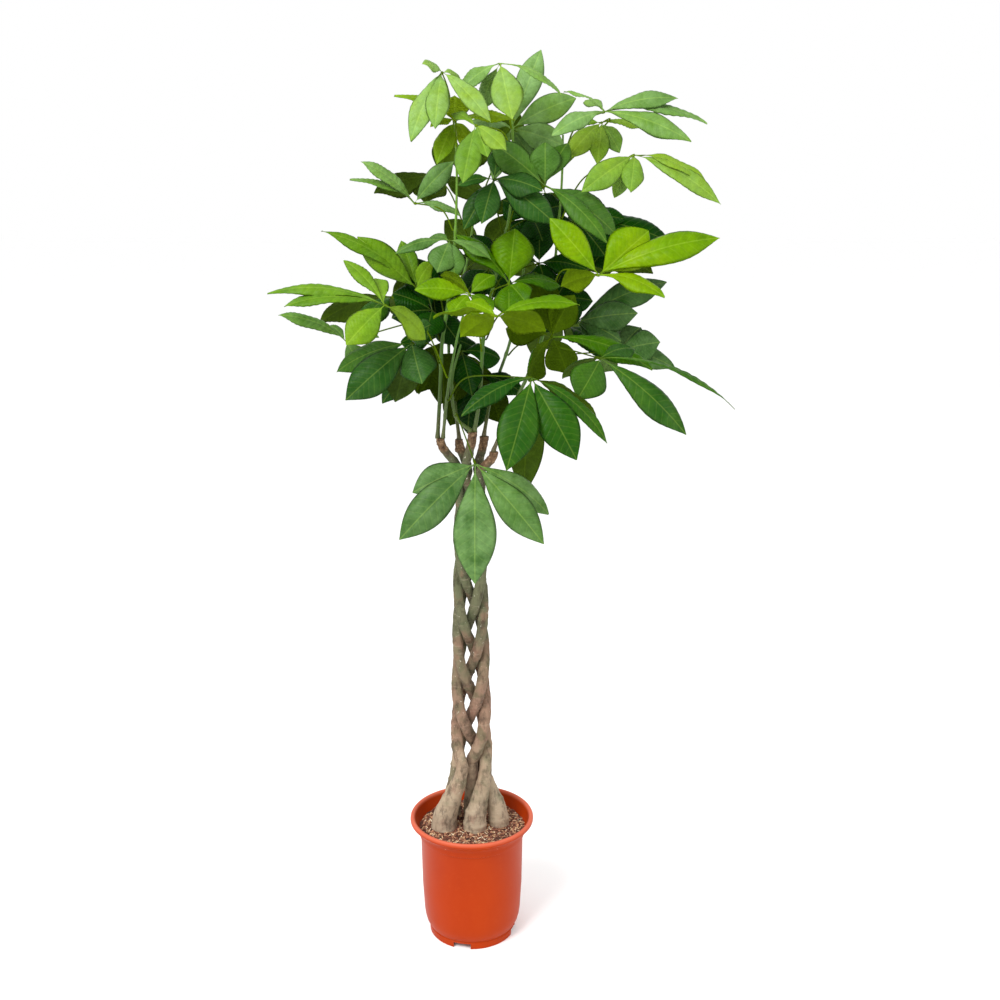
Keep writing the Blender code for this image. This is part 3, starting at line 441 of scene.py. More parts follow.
def soil_material():
    nodes = Nodes("potting_soil")
    crumbs = nodes.noise(210.0, 8.0, 0.7)
    colour = nodes.ramp(crumbs, [
        (0.30, (22, 11, 8)), (0.46, (78, 42, 30)), (0.60, (146, 90, 66)), (0.78, (200, 154, 118))])
    nodes.link(colour, nodes.shader.inputs["Base Color"])
    nodes.shader.inputs["Roughness"].default_value = 0.95
    nodes.bump(crumbs, 0.9, 0.004)
    return nodes.material


def chip_material():
    nodes = Nodes("bark_chip")
    tone = nodes.add("ShaderNodeAttribute", attribute_name="tone").outputs["Fac"]
    grain = nodes.span(nodes.noise(500.0, 3.0), 0.0, 1.0, -0.12, 0.12)
    colour = nodes.ramp(nodes.math("ADD", tone, grain, clamp=True), [
        (0.0, (48, 26, 20)), (0.35, (120, 70, 52)), (0.6, (176, 122, 92)),
        (0.8, (222, 186, 140)), (1.0, (248, 232, 200))])
    nodes.link(colour, nodes.shader.inputs["Base Color"])
    nodes.shader.inputs["Roughness"].default_value = 0.85
    nodes.bump(nodes.noise(300.0), 0.4, 0.001)
    return nodes.material


def bark_material():
    """Old bark: grey-brown at the root, pinkish above it, then green-grey, with rough brown tops."""
    nodes = Nodes("grey_bark")
    place = nodes.add("ShaderNodeTexCoord").outputs["Object"]
    height = nodes.add("ShaderNodeSeparateXYZ")
    nodes.link(place, height.inputs[0])
    wander = nodes.noise(11.0, 3.0)
    level = nodes.math("ADD", height.outputs["Z"], nodes.span(wander, 0.2, 0.8, -0.10, 0.10))
    base = nodes.ramp(nodes.span(level, 0.2, 1.0), [
        (0.0, (182, 166, 142)), (0.16, (158, 140, 116)), (0.27, (136, 110, 90)),
        (0.38, (132, 104, 86)), (0.50, (98, 96, 72)), (0.68, (90, 92, 66)),
        (0.82, (78, 86, 58)), (1.0, (82, 82, 58))])
    patch = nodes.noise(26.0, 3.0, 0.5)
    pink = nodes.span(patch, 0.56, 0.66, 0.0, 0.4)
    base = nodes.tint(pink, base, (134, 92, 78))
    moss = nodes.span(patch, 0.46, 0.36, 0.0, 0.5)
    base = nodes.tint(moss, base, (70, 80, 52))
    furrow = nodes.noise(70.0, 8.0, 0.7, stretch=(1, 1, 0.4))
    base = nodes.tint(nodes.span(furrow, 0.52, 0.36, 0.0, 0.7), base, (50, 40, 30))
    ringed = nodes.noise(55.0, 5.0, 0.7, stretch=(0.35, 0.35, 2.2))
    base = nodes.tint(nodes.span(ringed, 0.58, 0.74, 0.0, 0.4), base, (170, 154, 132))
    spots = nodes.noise(230.0, 2.0)
    base = nodes.tint(nodes.span(spots, 0.68, 0.76, 0.0, 0.6), base, (206, 198, 180))
    cut = nodes.add("ShaderNodeAttribute", attribute_name="cut").outputs["Fac"]
    crusty = nodes.ramp(nodes.noise(160.0, 6.0, 0.7), [
        (0.35, (56, 40, 28)), (0.55, (110, 84, 60)), (0.72, (166, 140, 110))])
    base = nodes.mix(cut, base, crusty)
    nodes.link(base, nodes.shader.inputs["Base Color"])
    nodes.shader.inputs["Roughness"].default_value = 0.85
    nodes.shader.inputs["Specular IOR Level"].default_value = 0.25
    rough = nodes.math("ADD", furrow, nodes.math("MULTIPLY", ringed, 0.7))
    nodes.bump(nodes.math("ADD", rough, nodes.noise(260.0, 5.0)), 0.7, 0.002)
    return nodes.material


def stem_material():
    """Young bark: brown and corky low down, green above, with pale flecks."""
    nodes = Nodes("green_stem")
    place = nodes.add("ShaderNodeTexCoord").outputs["Object"]
    height = nodes.add("ShaderNodeSeparateXYZ")
    nodes.link(place, height.inputs[0])
    level = nodes.math("ADD", height.outputs["Z"], nodes.span(nodes.noise(16.0), 0.0, 1.0, -0.06, 0.06))
    base = nodes.ramp(nodes.span(level, 0.98, 1.5), [
        (0.0, (74, 66, 34)), (0.10, (62, 82, 18)), (0.35, (64, 104, 8)), (1.0, (92, 134, 10))])
    fleck = nodes.noise(240.0, 3.0)
    base = nodes.tint(nodes.span(fleck, 0.6, 0.75, 0.0, 0.5), base, (120, 126, 76))
    nodes.link(base, nodes.shader.inputs["Base Color"])
    nodes.shader.inputs["Roughness"].default_value = 0.5
    nodes.bump(fleck, 0.25, 0.0006)
    return nodes.material


def vein_shares(nodes):
    """How much of a midrib and of a side vein a point of the blade is."""
    grid = nodes.add("ShaderNodeSeparateXYZ")
    nodes.link(nodes.add("ShaderNodeUVMap", uv_map="blade").outputs["UV"], grid.inputs[0])
    across = nodes.math("ABSOLUTE", grid.outputs["Y"])
    midrib = nodes.span(across, 0.0004, 0.0014, 1.0, 0.0)
    ridge = nodes.math("ABSOLUTE", nodes.math("SUBTRACT", nodes.math("FRACT", grid.outputs["X"]), 0.5))
    side = nodes.span(ridge, 0.40, 0.49, 0.0, 1.0)
    return midrib, side


def leaf_material(name, stops, pale, gloss, shine, vein_strength):
    nodes = Nodes(name)
    youth = nodes.add("ShaderNodeAttribute", attribute_name="youth").outputs["Fac"]
    painted_sheen = nodes.add("ShaderNodeAttribute", attribute_name="painted_sheen").outputs["Fac"]
    cloud = nodes.span(nodes.noise(14.0, 5.0, 0.6), 0.25, 0.75, -0.13, 0.13)
    base = nodes.ramp(nodes.math("ADD", youth, cloud, clamp=True), stops)
    sheen_patches = nodes.span(nodes.noise(34.0, 5.0, 0.6), 0.30, 0.62, 0.35, 1.0)
    # Painted sheen: a pale grey-green laid in patches over the blade for light glancing off its top.
    base = nodes.tint(nodes.math("MULTIPLY", painted_sheen, sheen_patches), base, PAINTED_SHEEN_COLOUR)
    midrib, side = vein_shares(nodes)
    veins = nodes.math("MAXIMUM", midrib, nodes.math("MULTIPLY", side, 0.35), clamp=True)
    lighter = nodes.mix(1.0, base, pale, "ADD")
    base = nodes.mix(nodes.math("MULTIPLY", veins, vein_strength), base, lighter)
    blotch = nodes.span(nodes.noise(110.0, 5.0, 0.65), 0.35, 0.65, 0.88, 1.10)
    base = nodes.mix(1.0, base, blotch, "MULTIPLY")
    nodes.link(base, nodes.shader.inputs["Base Color"])
    sheen = nodes.noise(30.0, 4.0)
    nodes.link(nodes.span(sheen, 0.3, 0.7, gloss - 0.06, gloss + 0.10), nodes.shader.inputs["Roughness"])
    nodes.shader.inputs["Specular IOR Level"].default_value = shine
    relief = nodes.math("ADD", nodes.math("MULTIPLY", midrib, 0.6), nodes.math("MULTIPLY", side, -0.4))
    nodes.bump(nodes.math("ADD", relief, nodes.noise(320.0, 3.0)), 0.3, 0.0007)
    glow = nodes.add("ShaderNodeBsdfTranslucent")
    nodes.link(base, glow.inputs["Color"])
    both = nodes.add("ShaderNodeMixShader")
    both.inputs["Fac"].default_value = 0.16
    nodes.link(nodes.shader.outputs[0], both.inputs[1])
    nodes.link(glow.outputs[0], both.inputs[2])
    nodes.link(both.outputs[0], nodes.tree.nodes["Material Output"].inputs["Surface"])
    return nodes.material


def make_materials():
    top = [
        (0.0, (4, 40, 0)), (0.3, (18, 66, 0)), (0.6, (58, 100, 0)),
        (0.8, (96, 134, 0)), (1.0, (124, 152, 2))]
    under = [(0.0, (34, 50, 0)), (0.5, (62, 86, 0)), (1.0, (108, 136, 6))]
    return {
        "pot": plastic_material(),
        "soil": soil_material(),
        "chip": chip_material(),
        "bark": bark_material(),
        "stem": stem_material(),
        "leaf": leaf_material("glossy_leaf", top, (0.07, 0.09, 0.015, 1), 0.34, 0.06, 0.8),
        "under": leaf_material("leaf_underside", under, (0.02, 0.03, 0.001, 1), 0.6, 0.04, 0.8),
    }


def new_object(name, mesh, *materials):
    obj = bpy.data.objects.new(name, mesh)
    bpy.context.scene.collection.objects.link(obj)
    for material in materials:
        obj.data.materials.append(material)
    return obj


def carry(obj, slot, *nodes):
    """The piece rides on the plant's one body and stands for these CAD nodes."""
    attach(obj, "root")
    if nodes:
        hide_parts(*nodes)


def smooth_step(share):
    share = min(max(share, 0.0), 1.0)
    return share * share * (3 - 2 * share)


def spline_point(points, place):
    index = min(int(place), len(points) - 2)
    t = place - index
    before = points[max(index - 1, 0)]
    start, end = points[index], points[index + 1]
    after = points[min(index + 2, len(points) - 1)]
    return 0.5 * (
        2 * start
        + (end - before) * t
        + (2 * before - 5 * start + 4 * end - after) * t * t
        + (3 * start - before - 3 * end + after) * t**3
    )


def spline(points, steps):
    last = len(points) - 1
    return [spline_point(points, last * i / steps) for i in range(steps + 1)]


def tube_rings(points, radii, sides, swell=None):
    """Rings of points round a route. swell(point, angle) adds to the radius."""
    rings = []
    ahead = (points[1] - points[0]).normalized()
    side = ahead.orthogonal().normalized()
    for i, (point, radius) in enumerate(zip(points, radii)):
        toward = points[min(i + 1, len(points) - 1)] - points[max(i - 1, 0)]
        turned = ahead.rotation_difference(toward.normalized())
        side = (turned @ side).normalized()
        ahead = toward.normalized()
        other = ahead.cross(side)
        ring = []
        for k in range(sides):
            angle = math.tau * k / sides
            out = side * math.cos(angle) + other * math.sin(angle)
            extra = swell(point, out) if swell else 0.0
            ring.append(point + out * (radius + extra))
        rings.append(ring)
    return rings


def add_rings(shape, rings):
    """A closed skin over rings of equally many points, with a fan over each end."""
    made = [[shape.verts.new(point) for point in ring] for ring in rings]
    sides = len(rings[0])
    for ring, after in zip(made, made[1:]):
        for k in range(sides):
            j = (k + 1) % sides
            shape.faces.new((ring[k], ring[j], after[j], after[k]))
    for ring, points in ((made[0][::-1], rings[0]), (made[-1], rings[-1])):
        middle = shape.verts.new(sum(points, Vector()) / sides)
        for k in range(sides):
            shape.faces.new((ring[k], ring[(k + 1) % sides], middle))


def mesh_from(name, shape, smooth_angle=40):
    bmesh.ops.recalc_face_normals(shape, faces=shape.faces)
    mesh = bpy.data.meshes.new(name)
    shape.to_mesh(mesh)
    shape.free()
    mesh.shade_smooth()
    mesh.set_sharp_from_angle(angle=math.radians(smooth_angle))
    return mesh


def pot_profile():
    """The pot's wall, from the middle of its floor outwards and up, over the rim and down again."""
    return [
        (0, FLOOR_HEIGHT + WALL),
        (HEEL_RADIUS - 0.016, FLOOR_HEIGHT + WALL),
        (HEEL_RADIUS - WALL - 0.004, HEEL_HEIGHT - 0.006),
        (HEEL_RADIUS - WALL + 0.001, HEEL_HEIGHT + 0.014),
        (SHOULDER_RADIUS - WALL, STEP_HEIGHT - 0.002),
        (BAND_RADIUS - WALL, STEP_HEIGHT + 0.002),
        (BAND_RADIUS - WALL + 0.001, POT_HEIGHT - 0.030),
        (LIP_FOOT_RADIUS, SOIL_TOP),
        (MOUTH_RADIUS - 0.004, POT_HEIGHT - 0.016),
        (MOUTH_RADIUS - 0.0004, POT_HEIGHT - 0.0055),
        (MOUTH_RADIUS, POT_HEIGHT - 0.004),
        (MOUTH_RADIUS + 0.0009, POT_HEIGHT - 0.0020),
        (MOUTH_RADIUS + 0.0022, POT_HEIGHT - 0.0008),
        (MOUTH_RADIUS + 0.0040, POT_HEIGHT),
        (RIM_RADIUS - 0.0030, POT_HEIGHT),
        (RIM_RADIUS - 0.0014, POT_HEIGHT - 0.0010),
        (RIM_RADIUS - 0.0004, POT_HEIGHT - 0.0028),
        (RIM_RADIUS, POT_HEIGHT - 0.0060),
        (RIM_RADIUS - 0.0003, POT_HEIGHT - 0.0082),
        (RIM_RADIUS - 0.0012, POT_HEIGHT - 0.0095),
        (RIM_RADIUS - 0.0028, POT_HEIGHT - 0.0106),
        (RIM_RADIUS - 0.0055, POT_HEIGHT - 0.0124),
        (RIM_RADIUS - 0.0120, POT_HEIGHT - 0.0178),
        (BAND_RADIUS + 0.0028, POT_HEIGHT - 0.0210),
        (BAND_RADIUS + 0.0008, POT_HEIGHT - 0.0250),
        (BAND_RADIUS, POT_HEIGHT - 0.0300),
        (BAND_RADIUS, STEP_HEIGHT + 0.0016),
        (BAND_RADIUS - 0.0004, STEP_HEIGHT + 0.0006),
        (BAND_RADIUS - 0.0012, STEP_HEIGHT),
        (SHOULDER_RADIUS + 0.0003, STEP_HEIGHT - 0.0004),
        (SHOULDER_RADIUS, STEP_HEIGHT - 0.0014),
        (HEEL_RADIUS + 0.0052, HEEL_HEIGHT + 0.070),
        (HEEL_RADIUS + 0.0020, HEEL_HEIGHT + 0.014),
        (HEEL_RADIUS + 0.0005, HEEL_HEIGHT + 0.002),
        (HEEL_RADIUS - 0.0022, HEEL_HEIGHT - 0.008),
        (FOOT_RADIUS + 0.0028, FOOT_HEIGHT + 0.0072),
        (FOOT_RADIUS + 0.0008, FOOT_HEIGHT + 0.0038),
        (FOOT_RADIUS - 0.0010, FOOT_HEIGHT + 0.0020),
        (FOOT_RADIUS - 0.0012, FOOT_HEIGHT + 0.0006),
        (FOOT_RADIUS, FOOT_HEIGHT - 0.0010),
        (FOOT_RADIUS - 0.0004, 0.0008),
        (FOOT_RADIUS - 0.0012, 0),
        (FOOT_RADIUS - 0.0040, 0),
        (FOOT_RADIUS - 0.0050, FLOOR_HEIGHT),
        (PAD_RADIUS + 0.0030, FLOOR_HEIGHT),
        (PAD_RADIUS, 0),
        (0, 0),
    ]


def turned_mesh(name, profile, steps):
    shape = bmesh.new()
    corners = [shape.verts.new((radius, 0, height)) for radius, height in profile]
    edges = [shape.edges.new(pair) for pair in zip(corners, corners[1:])]
    bmesh.ops.spin(
        shape, geom=corners + edges, axis=(0, 0, 1), cent=(0, 0, 0), angle=math.tau,
        steps=steps, use_merge=True,
    )
    bmesh.ops.remove_doubles(shape, verts=shape.verts, dist=1e-6)
    return mesh_from(name, shape, 30)


def notch_pot(pot):
    """Cuts the drainage notches through the foot ring."""
    for i in range(NOTCH_COUNT):
        turn = NOTCH_TURN + math.tau * i / NOTCH_COUNT
        shape = bmesh.new()
        bmesh.ops.create_cube(shape, size=1.0)
        bmesh.ops.scale(shape, vec=(0.020, NOTCH_WIDTH, 2 * NOTCH_HEIGHT), verts=shape.verts)
        cutter = new_object(f"notch_{i + 1}", mesh_from("notch", shape))
        cutter.location = (FOOT_RADIUS * math.cos(turn), FOOT_RADIUS * math.sin(turn), 0)
        cutter.rotation_euler.z = turn
        modifier = pot.modifiers.new("notch", "BOOLEAN")
        modifier.object = cutter
        bpy.context.view_layer.update()
        graph = bpy.context.evaluated_depsgraph_get()
        cut = bpy.data.meshes.new_from_object(pot.evaluated_get(graph))
        pot.modifiers.clear()
        pot.data = cut
        bpy.data.objects.remove(cutter)


def build_pot(materials):
    pot = new_object("nursery_pot", turned_mesh("nursery_pot", pot_profile(), POT_STEPS), materials["pot"])
    notch_pot(pot)
    carry(pot, "terracotta_plastic", "pot")


def soil_height(x, y):
    rough = noise.noise(Vector((x * 60, y * 60, 0))) * 0.0024
    rough += noise.noise(Vector((x * 180, y * 180, 3))) * 0.0016
    return SOIL_TOP - 0.002 + rough


def build_soil(materials):
    """The crumbly top of the soil with its skirt inside the pot."""
    shape = bmesh.new()
    rings, spokes = 44, 150
    grid = []
    for i in range(1, rings + 1):
        radius = SOIL_RADIUS * i / rings
        row = []
        for k in range(spokes):
            angle = math.tau * k / spokes
            x, y = radius * math.cos(angle), radius * math.sin(angle)
            row.append(shape.verts.new((x, y, soil_height(x, y))))
        grid.append(row)
    middle = shape.verts.new((0, 0, soil_height(0, 0)))
    for k in range(spokes):
        shape.faces.new((middle, grid[0][k], grid[0][(k + 1) % spokes]))
    foot = SOIL_TOP - SKIRT_DEPTH
    skirt = [shape.verts.new((v.co.x * SKIRT_SHARE, v.co.y * SKIRT_SHARE, foot)) for v in grid[-1]]
    grid.append(skirt)
    for row, after in zip(grid, grid[1:]):
        for k in range(spokes):
            j = (k + 1) % spokes
            shape.faces.new((row[k], after[k], after[j], row[j]))
    low = shape.verts.new((0, 0, foot))
    for k in range(spokes):
        shape.faces.new((low, skirt[(k + 1) % spokes], skirt[k]))
    soil = new_object("soil_surface", mesh_from("soil_surface", shape, 80), materials["soil"])
    carry(soil, "potting_soil", "soil")


def near_trunk(x, y):
    return any(
        math.hypot(x - root[0] * CM, y - root[1] * CM) < wide * CM / 2 + 0.002
        for _, root, wide, _ in TRUNKS.values()
    )


def add_chip(shape, tone, draw, size, shade):
    """A splinter or crumb of bark, length by width by thickness, lying on the soil."""
    radius = (SOIL_RADIUS - 0.003) * math.sqrt(draw.random())
    angle = math.tau * draw.random()
    x, y = radius * math.cos(angle), radius * math.sin(angle)
    turn, tilt = math.tau * draw.random(), draw.uniform(-0.45, 0.45)
    if near_trunk(x, y):
        return
    along = Vector((math.cos(turn) * math.cos(tilt), math.sin(turn) * math.cos(tilt), math.sin(tilt)))
    side = along.cross(UP).normalized()
    axes = [axis * length / 2 for axis, length in zip((along, side, side.cross(along)), size)]
    base = Vector((x, y, soil_height(x, y) + 0.0010))
    corners = []
    for signs in CORNERS:
        offset = sum((axis * sign for axis, sign in zip(axes, signs)), Vector())
        vert = shape.verts.new(base + offset * draw.uniform(0.65, 1.0))
        vert[tone] = shade
        corners.append(vert)
    for face in SIDES:
        shape.faces.new([corners[i] for i in face])


def build_chips(materials):
    draw = random.Random(SEED)
    shape = bmesh.new()
    tone = shape.verts.layers.float.new("tone")
    for _ in range(CRUMB_COUNT):
        length = draw.uniform(0.0015, 0.0055)
        size = (length, length * draw.uniform(0.5, 0.9), length * draw.uniform(0.3, 0.6))
        add_chip(shape, tone, draw, size, draw.uniform(0.0, 0.75))
    for _ in range(STRAW_COUNT):
        length = draw.uniform(0.004, 0.013)
        size = (length, draw.uniform(0.0007, 0.0018), draw.uniform(0.0005, 0.0011))
        add_chip(shape, tone, draw, size, draw.uniform(0.55, 1.0))
    chips = new_object("bark_chips", mesh_from("bark_chips", shape, 20), materials["chip"])
    carry(chips, "potting_soil")


def strand_diameter(height):
    share = (height - BRAID_START) / (BRAID_TOP - BRAID_START)
    return THICK + (THIN - THICK) * min(max(share, 0.0), 1.0)


def braid_place(height, offset):
    angle = BRAID_PHASE + math.tau * (height - BRAID_PHASE_HEIGHT) / BRAID_TURN + offset
    diameter = strand_diameter(height)
    side = SIDE_SWING * diameter * math.sin(angle)
    depth = -DEPTH_SWING * diameter * math.sin(2 * angle)
    return Vector((side, depth, height))


def trunk_route(offset_degrees, root, root_diameter, top):
    offset = math.radians(offset_degrees)
    root_place = Vector((root[0] * CM, root[1] * CM, 0))
    top_place = Vector(top) * CM
    points, radii = [], []
    for i in range(TRUNK_STEPS + 1):
        height = ROOT_DEPTH + (top_place.z - ROOT_DEPTH) * i / TRUNK_STEPS
        point = braid_place(min(max(height, BRAID_START), BRAID_TOP), offset)
        diameter = strand_diameter(height)
        joined = smooth_step((height - SOIL_TOP) / (BRAID_START - SOIL_TOP))
        parted = smooth_step((height - BRAID_TOP) / (top_place.z - NECK - BRAID_TOP))
        point = root_place.lerp(point, joined).lerp(top_place, parted)
        point.z = height
        points.append(point)
        flare = (1 - min(max((height - SOIL_TOP) / (BRAID_START - SOIL_TOP), 0), 1)) ** ROOT_TAPER
        radii.append((diameter + (root_diameter * CM - diameter) * flare) / 2)
    return points, radii


def build_trunks(materials):
    for index, (name, row) in enumerate(TRUNKS.items()):
        points, radii = trunk_route(*row)
        top = points[-1].z
        shift = Vector((index * 9, 0, 0))

        def knobbly(point, out):
            lumps = noise.noise(point * 38 + out * 1.2 + shift) * 0.0013
            lumps += noise.noise(point * 120 + out * 3 + shift) * 0.0006
            scars = max(0.0, noise.noise(Vector((index * 5, 0, point.z * 80))) - 0.22) * 0.0030
            knot = max(0.0, noise.noise(point * 55 + out * 2.2 - shift) - 0.42) * 0.0060
            crust = smooth_step((point.z - top + 0.035) / 0.02)
            return lumps + scars + knot + crust * noise.noise(point * 210 + out * 2) * 0.0014

        shape = bmesh.new()
        cut = shape.verts.layers.float.new("cut")
        add_rings(shape, tube_rings(points, radii, TRUNK_SIDES, knobbly))
        for vert in shape.verts:
            ragged = noise.noise(vert.co * 70) * 0.012
            vert[cut] = smooth_step((vert.co.z + ragged - top + 0.032) / 0.014)
        trunk = new_object(f"{name}_bark", mesh_from(name, shape, 60), materials["bark"])
        carry(trunk, "grey_bark", name)


def shoot_route(trunk_top, base, route):
    foot = Vector((base[0] * CM, base[1] * CM, trunk_top + GAP))
    neck = foot + UP * NECK
    return [foot] + spline([neck] + [Vector(place) * CM for place in route], 3 * len(route))


def build_shoots(materials):
    routes = {}
    for name, (trunk, base, base_mm, tip_mm, route) in SHOOTS.items():
        points = shoot_route(TRUNKS[trunk][3][2] * CM, base, route)
        last = len(points) - 1
        radii = [(base_mm + (tip_mm - base_mm) * i / last) / 1000 for i in range(last + 1)]
        routes[name] = (points, radii)
        fine = spline(points, 10 * len(points))
        fine_last = len(fine) - 1
        fine_radii = [(base_mm + (tip_mm - base_mm) * i / fine_last) / 1000 for i in range(fine_last + 1)]
        joints = [height * CM for shoot, height, _, _ in LEAVES.values() if shoot == name]

        def swollen(point, out):
            bulge = sum(math.exp(-(((point.z - joint) / 0.005) ** 2)) for joint in joints)
            foot = math.exp(-(((point.z - points[0].z) / 0.008) ** 2))
            return 0.0008 * bulge + 0.0010 * foot + noise.noise(point * 120) * 0.0003

        shape = bmesh.new()
        add_rings(shape, tube_rings(fine, fine_radii, 14, swollen))
        shoot = new_object(f"{name}_stem", mesh_from(name, shape, 60), materials["stem"])
        carry(shoot, "green_stem", name)
    return routes


def at_height(points, radii, height):
    for a, b, radius in zip(points, points[1:], radii):
        if b.z >= height or b == points[-1]:
            share = min((height - a.z) / (b.z - a.z), 1.0)
            return a.lerp(b, share), (b - a).normalized(), radius


def petiole_points(shoot, height, hub, sway, steps):
    stem, along, radius = at_height(*shoot, height)
    out = hub - stem
    out = (out - along * out.dot(along)).normalized()
    start = stem + out * (radius + GAP)
    neck = start + out * 0.003
    reach = hub - neck
    rise = neck + out * 0.25 * reach.length + UP * (0.55 * reach.z + 0.10 * reach.length) + sway
    return [start] + spline([neck, rise, hub], steps)


def sways():
    for size in (0, 1, 2, 3, 4, 5):
        for turn in range(8 if size else 1):
            angle = math.tau * turn / 8
            yield Vector((math.sin(angle), -math.cos(angle), 0.5 * math.sin(angle))) * size * CM


def nudged(reach):
    for scale in SHORTER:
        for rise in NUDGES[:5]:
            for depth in NUDGES:
                moved = reach + Vector((0, depth * CM, rise * CM))
                yield moved.normalized() * reach.length * scale


def nearest(corners, point):
    return min((corner - point).length_squared for corner in corners)


def framed_petiole(corners, shoot, height, hub):
    """The petiole's route that the CAD node has."""
    def miss(sway):
        middle = petiole_points(shoot, height, hub, sway, PETIOLE_STEPS)[3]
        return nearest(corners, middle)

    sway = min(sways(), key=miss)
    return petiole_points(shoot, height, hub, sway, 24)


def framed_reach(corners, hub, reach):
    """The leaflet's reach that the CAD node has."""
    return min(nudged(reach), key=lambda moved: nearest(corners, hub + moved))


def blade_width(share):
    """Half the width of a leaflet along its length, as a share of its widest."""
    if share < PETIOLULE:
        return 0.03
    along = (share - PETIOLULE) / (1 - PETIOLULE)
    return max(0.03, math.sin(math.pi * along**1.25) ** 0.85 * (1 - 0.15 * along**6))


def blade_face(ahead, lean):
    """The way a leaflet's top looks, square to the way it reaches."""
    face = UP * (1 - abs(lean)) + FRONT * lean
    return (face - ahead * face.dot(ahead)).normalized()


def blade_rows(hub, reach, width, lean, draw):
    """Rows of (point, way to the top side, thickness, vein place) across a blade, from its stalk on."""
    ahead = reach.normalized()
    face = blade_face(ahead, lean)
    side = ahead.cross(face)
    length = reach.length
    arch = face * BLADE_ARCH * length
    fold, curl = draw.uniform(0.10, 0.26), draw.uniform(0.5, 1.1)
    wave, wave_phase = draw.uniform(0.0008, 0.0028), draw.uniform(0, math.tau)
    ruffle, shift = draw.uniform(0.0002, 0.0007), draw.uniform(0, 1)
    spacing = length / SIDE_VEINS
    steps = SIDE_VEINS * STEPS_PER_VEIN
    rows = []
    for i in range(steps + 1):
        share = i / steps
        middle = hub + reach * share + arch * 4 * share * (1 - share)
        half = width / 2 * blade_width(share)
        row = []
        for k in range(-BLADE_SIDE_STEPS, BLADE_SIDE_STEPS + 1):
            column = k / BLADE_SIDE_STEPS
            across = half * column
            phase = (share * length - abs(across) * VEIN_SLANT) / spacing + shift
            phase += 0.2 * noise.noise(Vector((share * 6, column * 1.5, shift * 50)))
            fullness = math.sin(math.pi * min(abs(column), 0.999)) ** 0.6 if k else 0.0
            pleat = PLEAT * abs(math.sin(math.pi * phase)) * fullness * min(1, half / 0.016)
            lift = fold * abs(across) - curl * across * across / max(width, 0.01)
            swing = share * 13 + wave_phase + (2 if k > 0 else 0)
            lift += wave * math.sin(swing) * column**2
            lift += ruffle * math.sin(math.tau * phase) * abs(column) ** 5 * min(1, half / 0.01)
            thick = BLADE_THICKNESS * (1 + 2 * math.exp(-share * 18)) * (1 - abs(column) ** 6)
            point = middle + side * across + face * (lift + pleat)
            row.append((point, face * thick / 2, (phase, across)))
        rows.append(row)
    return rows


def add_blade(shape, layers, rows, tone, pale):
    """A blade's two skins, over the same triangles, sewn together round its edge."""
    uv_layer, youth_layer, painted_sheen_layer = layers
    last, columns = len(rows) - 1, len(rows[0]) - 1
    skins = []
    for sign in (1, -1):
        skin = []
        for row in rows:
            verts = []
            for k, (point, half_thick, _) in enumerate(row):
                if sign < 0 and k in (0, columns):
                    verts.append(skins[0][len(skin)][k])
                    continue
                vert = shape.verts.new(point + half_thick * sign)
                vert[youth_layer] = tone
                vert[painted_sheen_layer] = pale
                verts.append(vert)
            skin.append(verts)
        skins.append(skin)
    for number, skin in enumerate(skins):
        for i in range(last):
            for k in range(columns):
                cell = ((i, k), (i, k + 1), (i + 1, k + 1), (i + 1, k))
                lower = k < columns / 2
                split = ((0, 1, 2), (0, 2, 3)) if lower else ((0, 1, 3), (1, 2, 3))
                for picked in split:
                    spots = [cell[n] for n in (picked[::-1] if number else picked)]
                    face = shape.faces.new([skin[a][b] for a, b in spots])
                    face.material_index = number
                    for loop, (a, b) in zip(face.loops, spots):
                        loop[uv_layer].uv = rows[a][b][2]
    top, low = skins
    for end in (0, last):
        for k in range(columns):
            corners = [top[end][k], top[end][k + 1], low[end][k + 1], low[end][k]]
            corners = list(dict.fromkeys(corners))
            if end == 0:
                corners.reverse()
            shape.faces.new(corners[::-1])


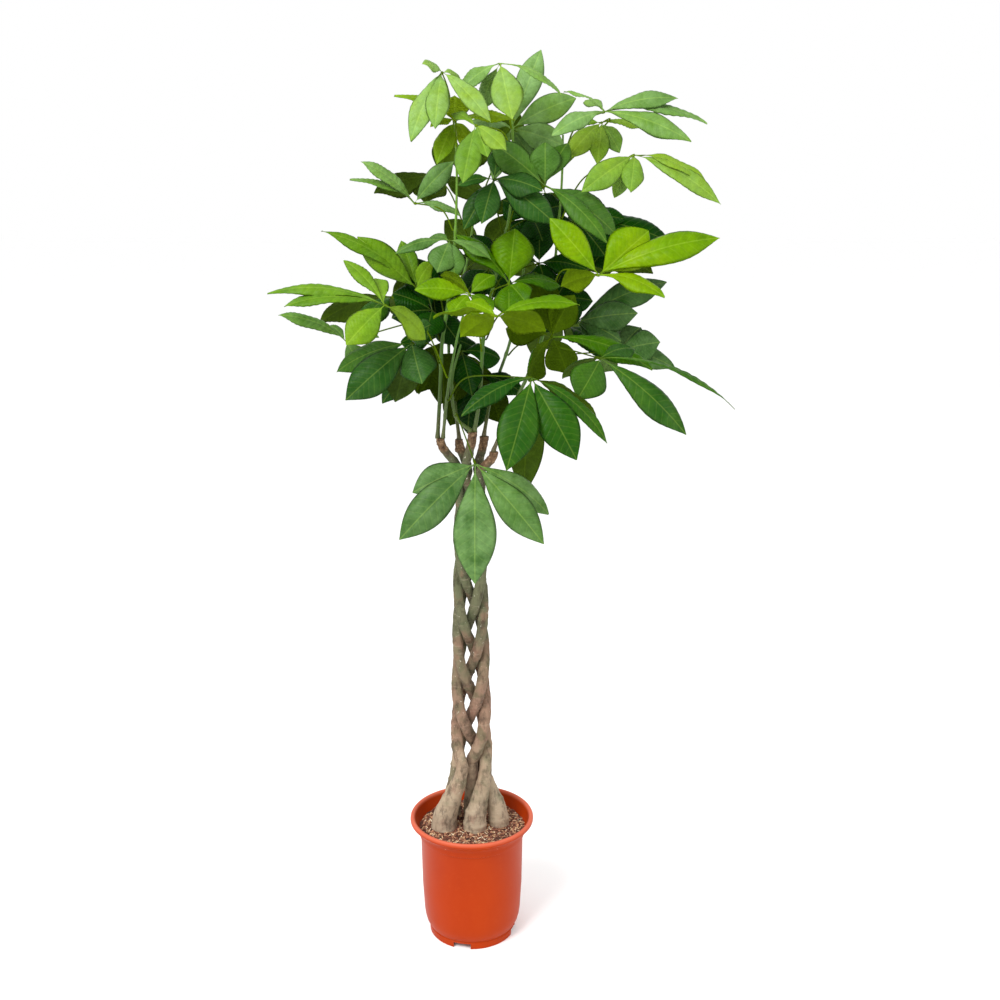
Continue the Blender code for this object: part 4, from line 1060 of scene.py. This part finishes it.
def build_leaves(frame, shoots, materials):
    for index, (name, (shoot, height, hub, rows)) in enumerate(LEAVES.items()):
        draw = random.Random(SEED * 1000 + index)
        corners = [vertex.co for vertex in frame["nodes"][name].data.vertices]
        hub = Vector(hub) * CM
        youth, painted_sheen = TONES.get(name, BACK_TONES)
        shape = bmesh.new()
        uv_layer = shape.loops.layers.uv.new("blade")
        youth_layer = shape.verts.layers.float.new("youth")
        painted_sheen_layer = shape.verts.layers.float.new("painted_sheen")
        route = framed_petiole(corners, shoots[shoot], height * CM, hub)
        last = len(route) - 1
        radii = [PETIOLE_BASE + (PETIOLE_TIP - PETIOLE_BASE) * i / last for i in range(last + 1)]
        radii[-1] = radii[-2] = HUB_RADIUS
        before = len(shape.faces)
        add_rings(shape, tube_rings(route, radii, PETIOLE_SIDES))
        shape.faces.ensure_lookup_table()
        for face in shape.faces[before:]:
            face.material_index = 1
            for vert in face.verts:
                vert[youth_layer] = youth
        for *reach, width, lean in rows:
            moved = framed_reach(corners, hub, Vector(reach) * CM)
            tone = youth + draw.uniform(-0.10, 0.10)
            # How much painted sheen, pale grey-green standing in for glancing light, this leaflet gets.
            pale = painted_sheen * draw.uniform(0.6, 1.0)
            blade = blade_rows(hub, moved, width * CM, lean, draw)
            add_blade(shape, (uv_layer, youth_layer, painted_sheen_layer), blade, tone, pale)
        mesh = bpy.data.meshes.new(name)
        shape.to_mesh(mesh)
        shape.free()
        mesh.shade_smooth()
        leaf = new_object(f"{name}_foliage", mesh, materials["leaf"], materials["under"])
        carry(leaf, "glossy_leaf", name)


def build_stage():
    nodes = Nodes("pale_floor")
    nodes.shader.inputs["Base Color"].default_value = (1, 1, 1, 1)
    nodes.shader.inputs["Roughness"].default_value = 1.0
    shape = bmesh.new()
    bmesh.ops.create_grid(shape, size=FLOOR_SIZE)
    floor = new_object("floor", mesh_from("floor", shape), nodes.material)
    world = bpy.data.worlds.new("studio")
    world.use_nodes = True
    world.node_tree.nodes["Background"].inputs["Color"].default_value = (1, 1, 1, 1)
    world.node_tree.nodes["Background"].inputs["Strength"].default_value = WORLD_STRENGTH
    bpy.context.scene.world = world


def add_light(name, place, size, power):
    light = bpy.data.lights.new(name, "AREA")
    light.size = size
    light.energy = power
    lamp = bpy.data.objects.new(name, light)
    bpy.context.scene.collection.objects.link(lamp)
    lamp.location = place
    toward = LIGHT_TARGET - Vector(place)
    lamp.rotation_euler = toward.to_track_quat("-Z", "Y").to_euler()


def build_camera():
    camera = bpy.data.cameras.new("camera")
    camera.lens = CAMERA_LENS
    camera.sensor_width = 36.0
    view = bpy.data.objects.new("camera", camera)
    bpy.context.scene.collection.objects.link(view)
    view.location = CAMERA_PLACE
    view.rotation_euler = (CAMERA_PITCH, 0, 0)
    bpy.context.scene.camera = view


def main():
    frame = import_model()
    materials = make_materials()
    build_camera()
    build_stage()
    add_light("key", KEY_PLACE, KEY_SIZE, KEY_POWER)
    add_light("fill", FILL_PLACE, FILL_SIZE, FILL_POWER)
    build_pot(materials)
    build_soil(materials)
    build_chips(materials)
    build_trunks(materials)
    shoots = build_shoots(materials)
    build_leaves(frame, shoots, materials)
    bpy.context.scene.view_settings.view_transform = "Standard"
    bpy.context.view_layer.update()


main()
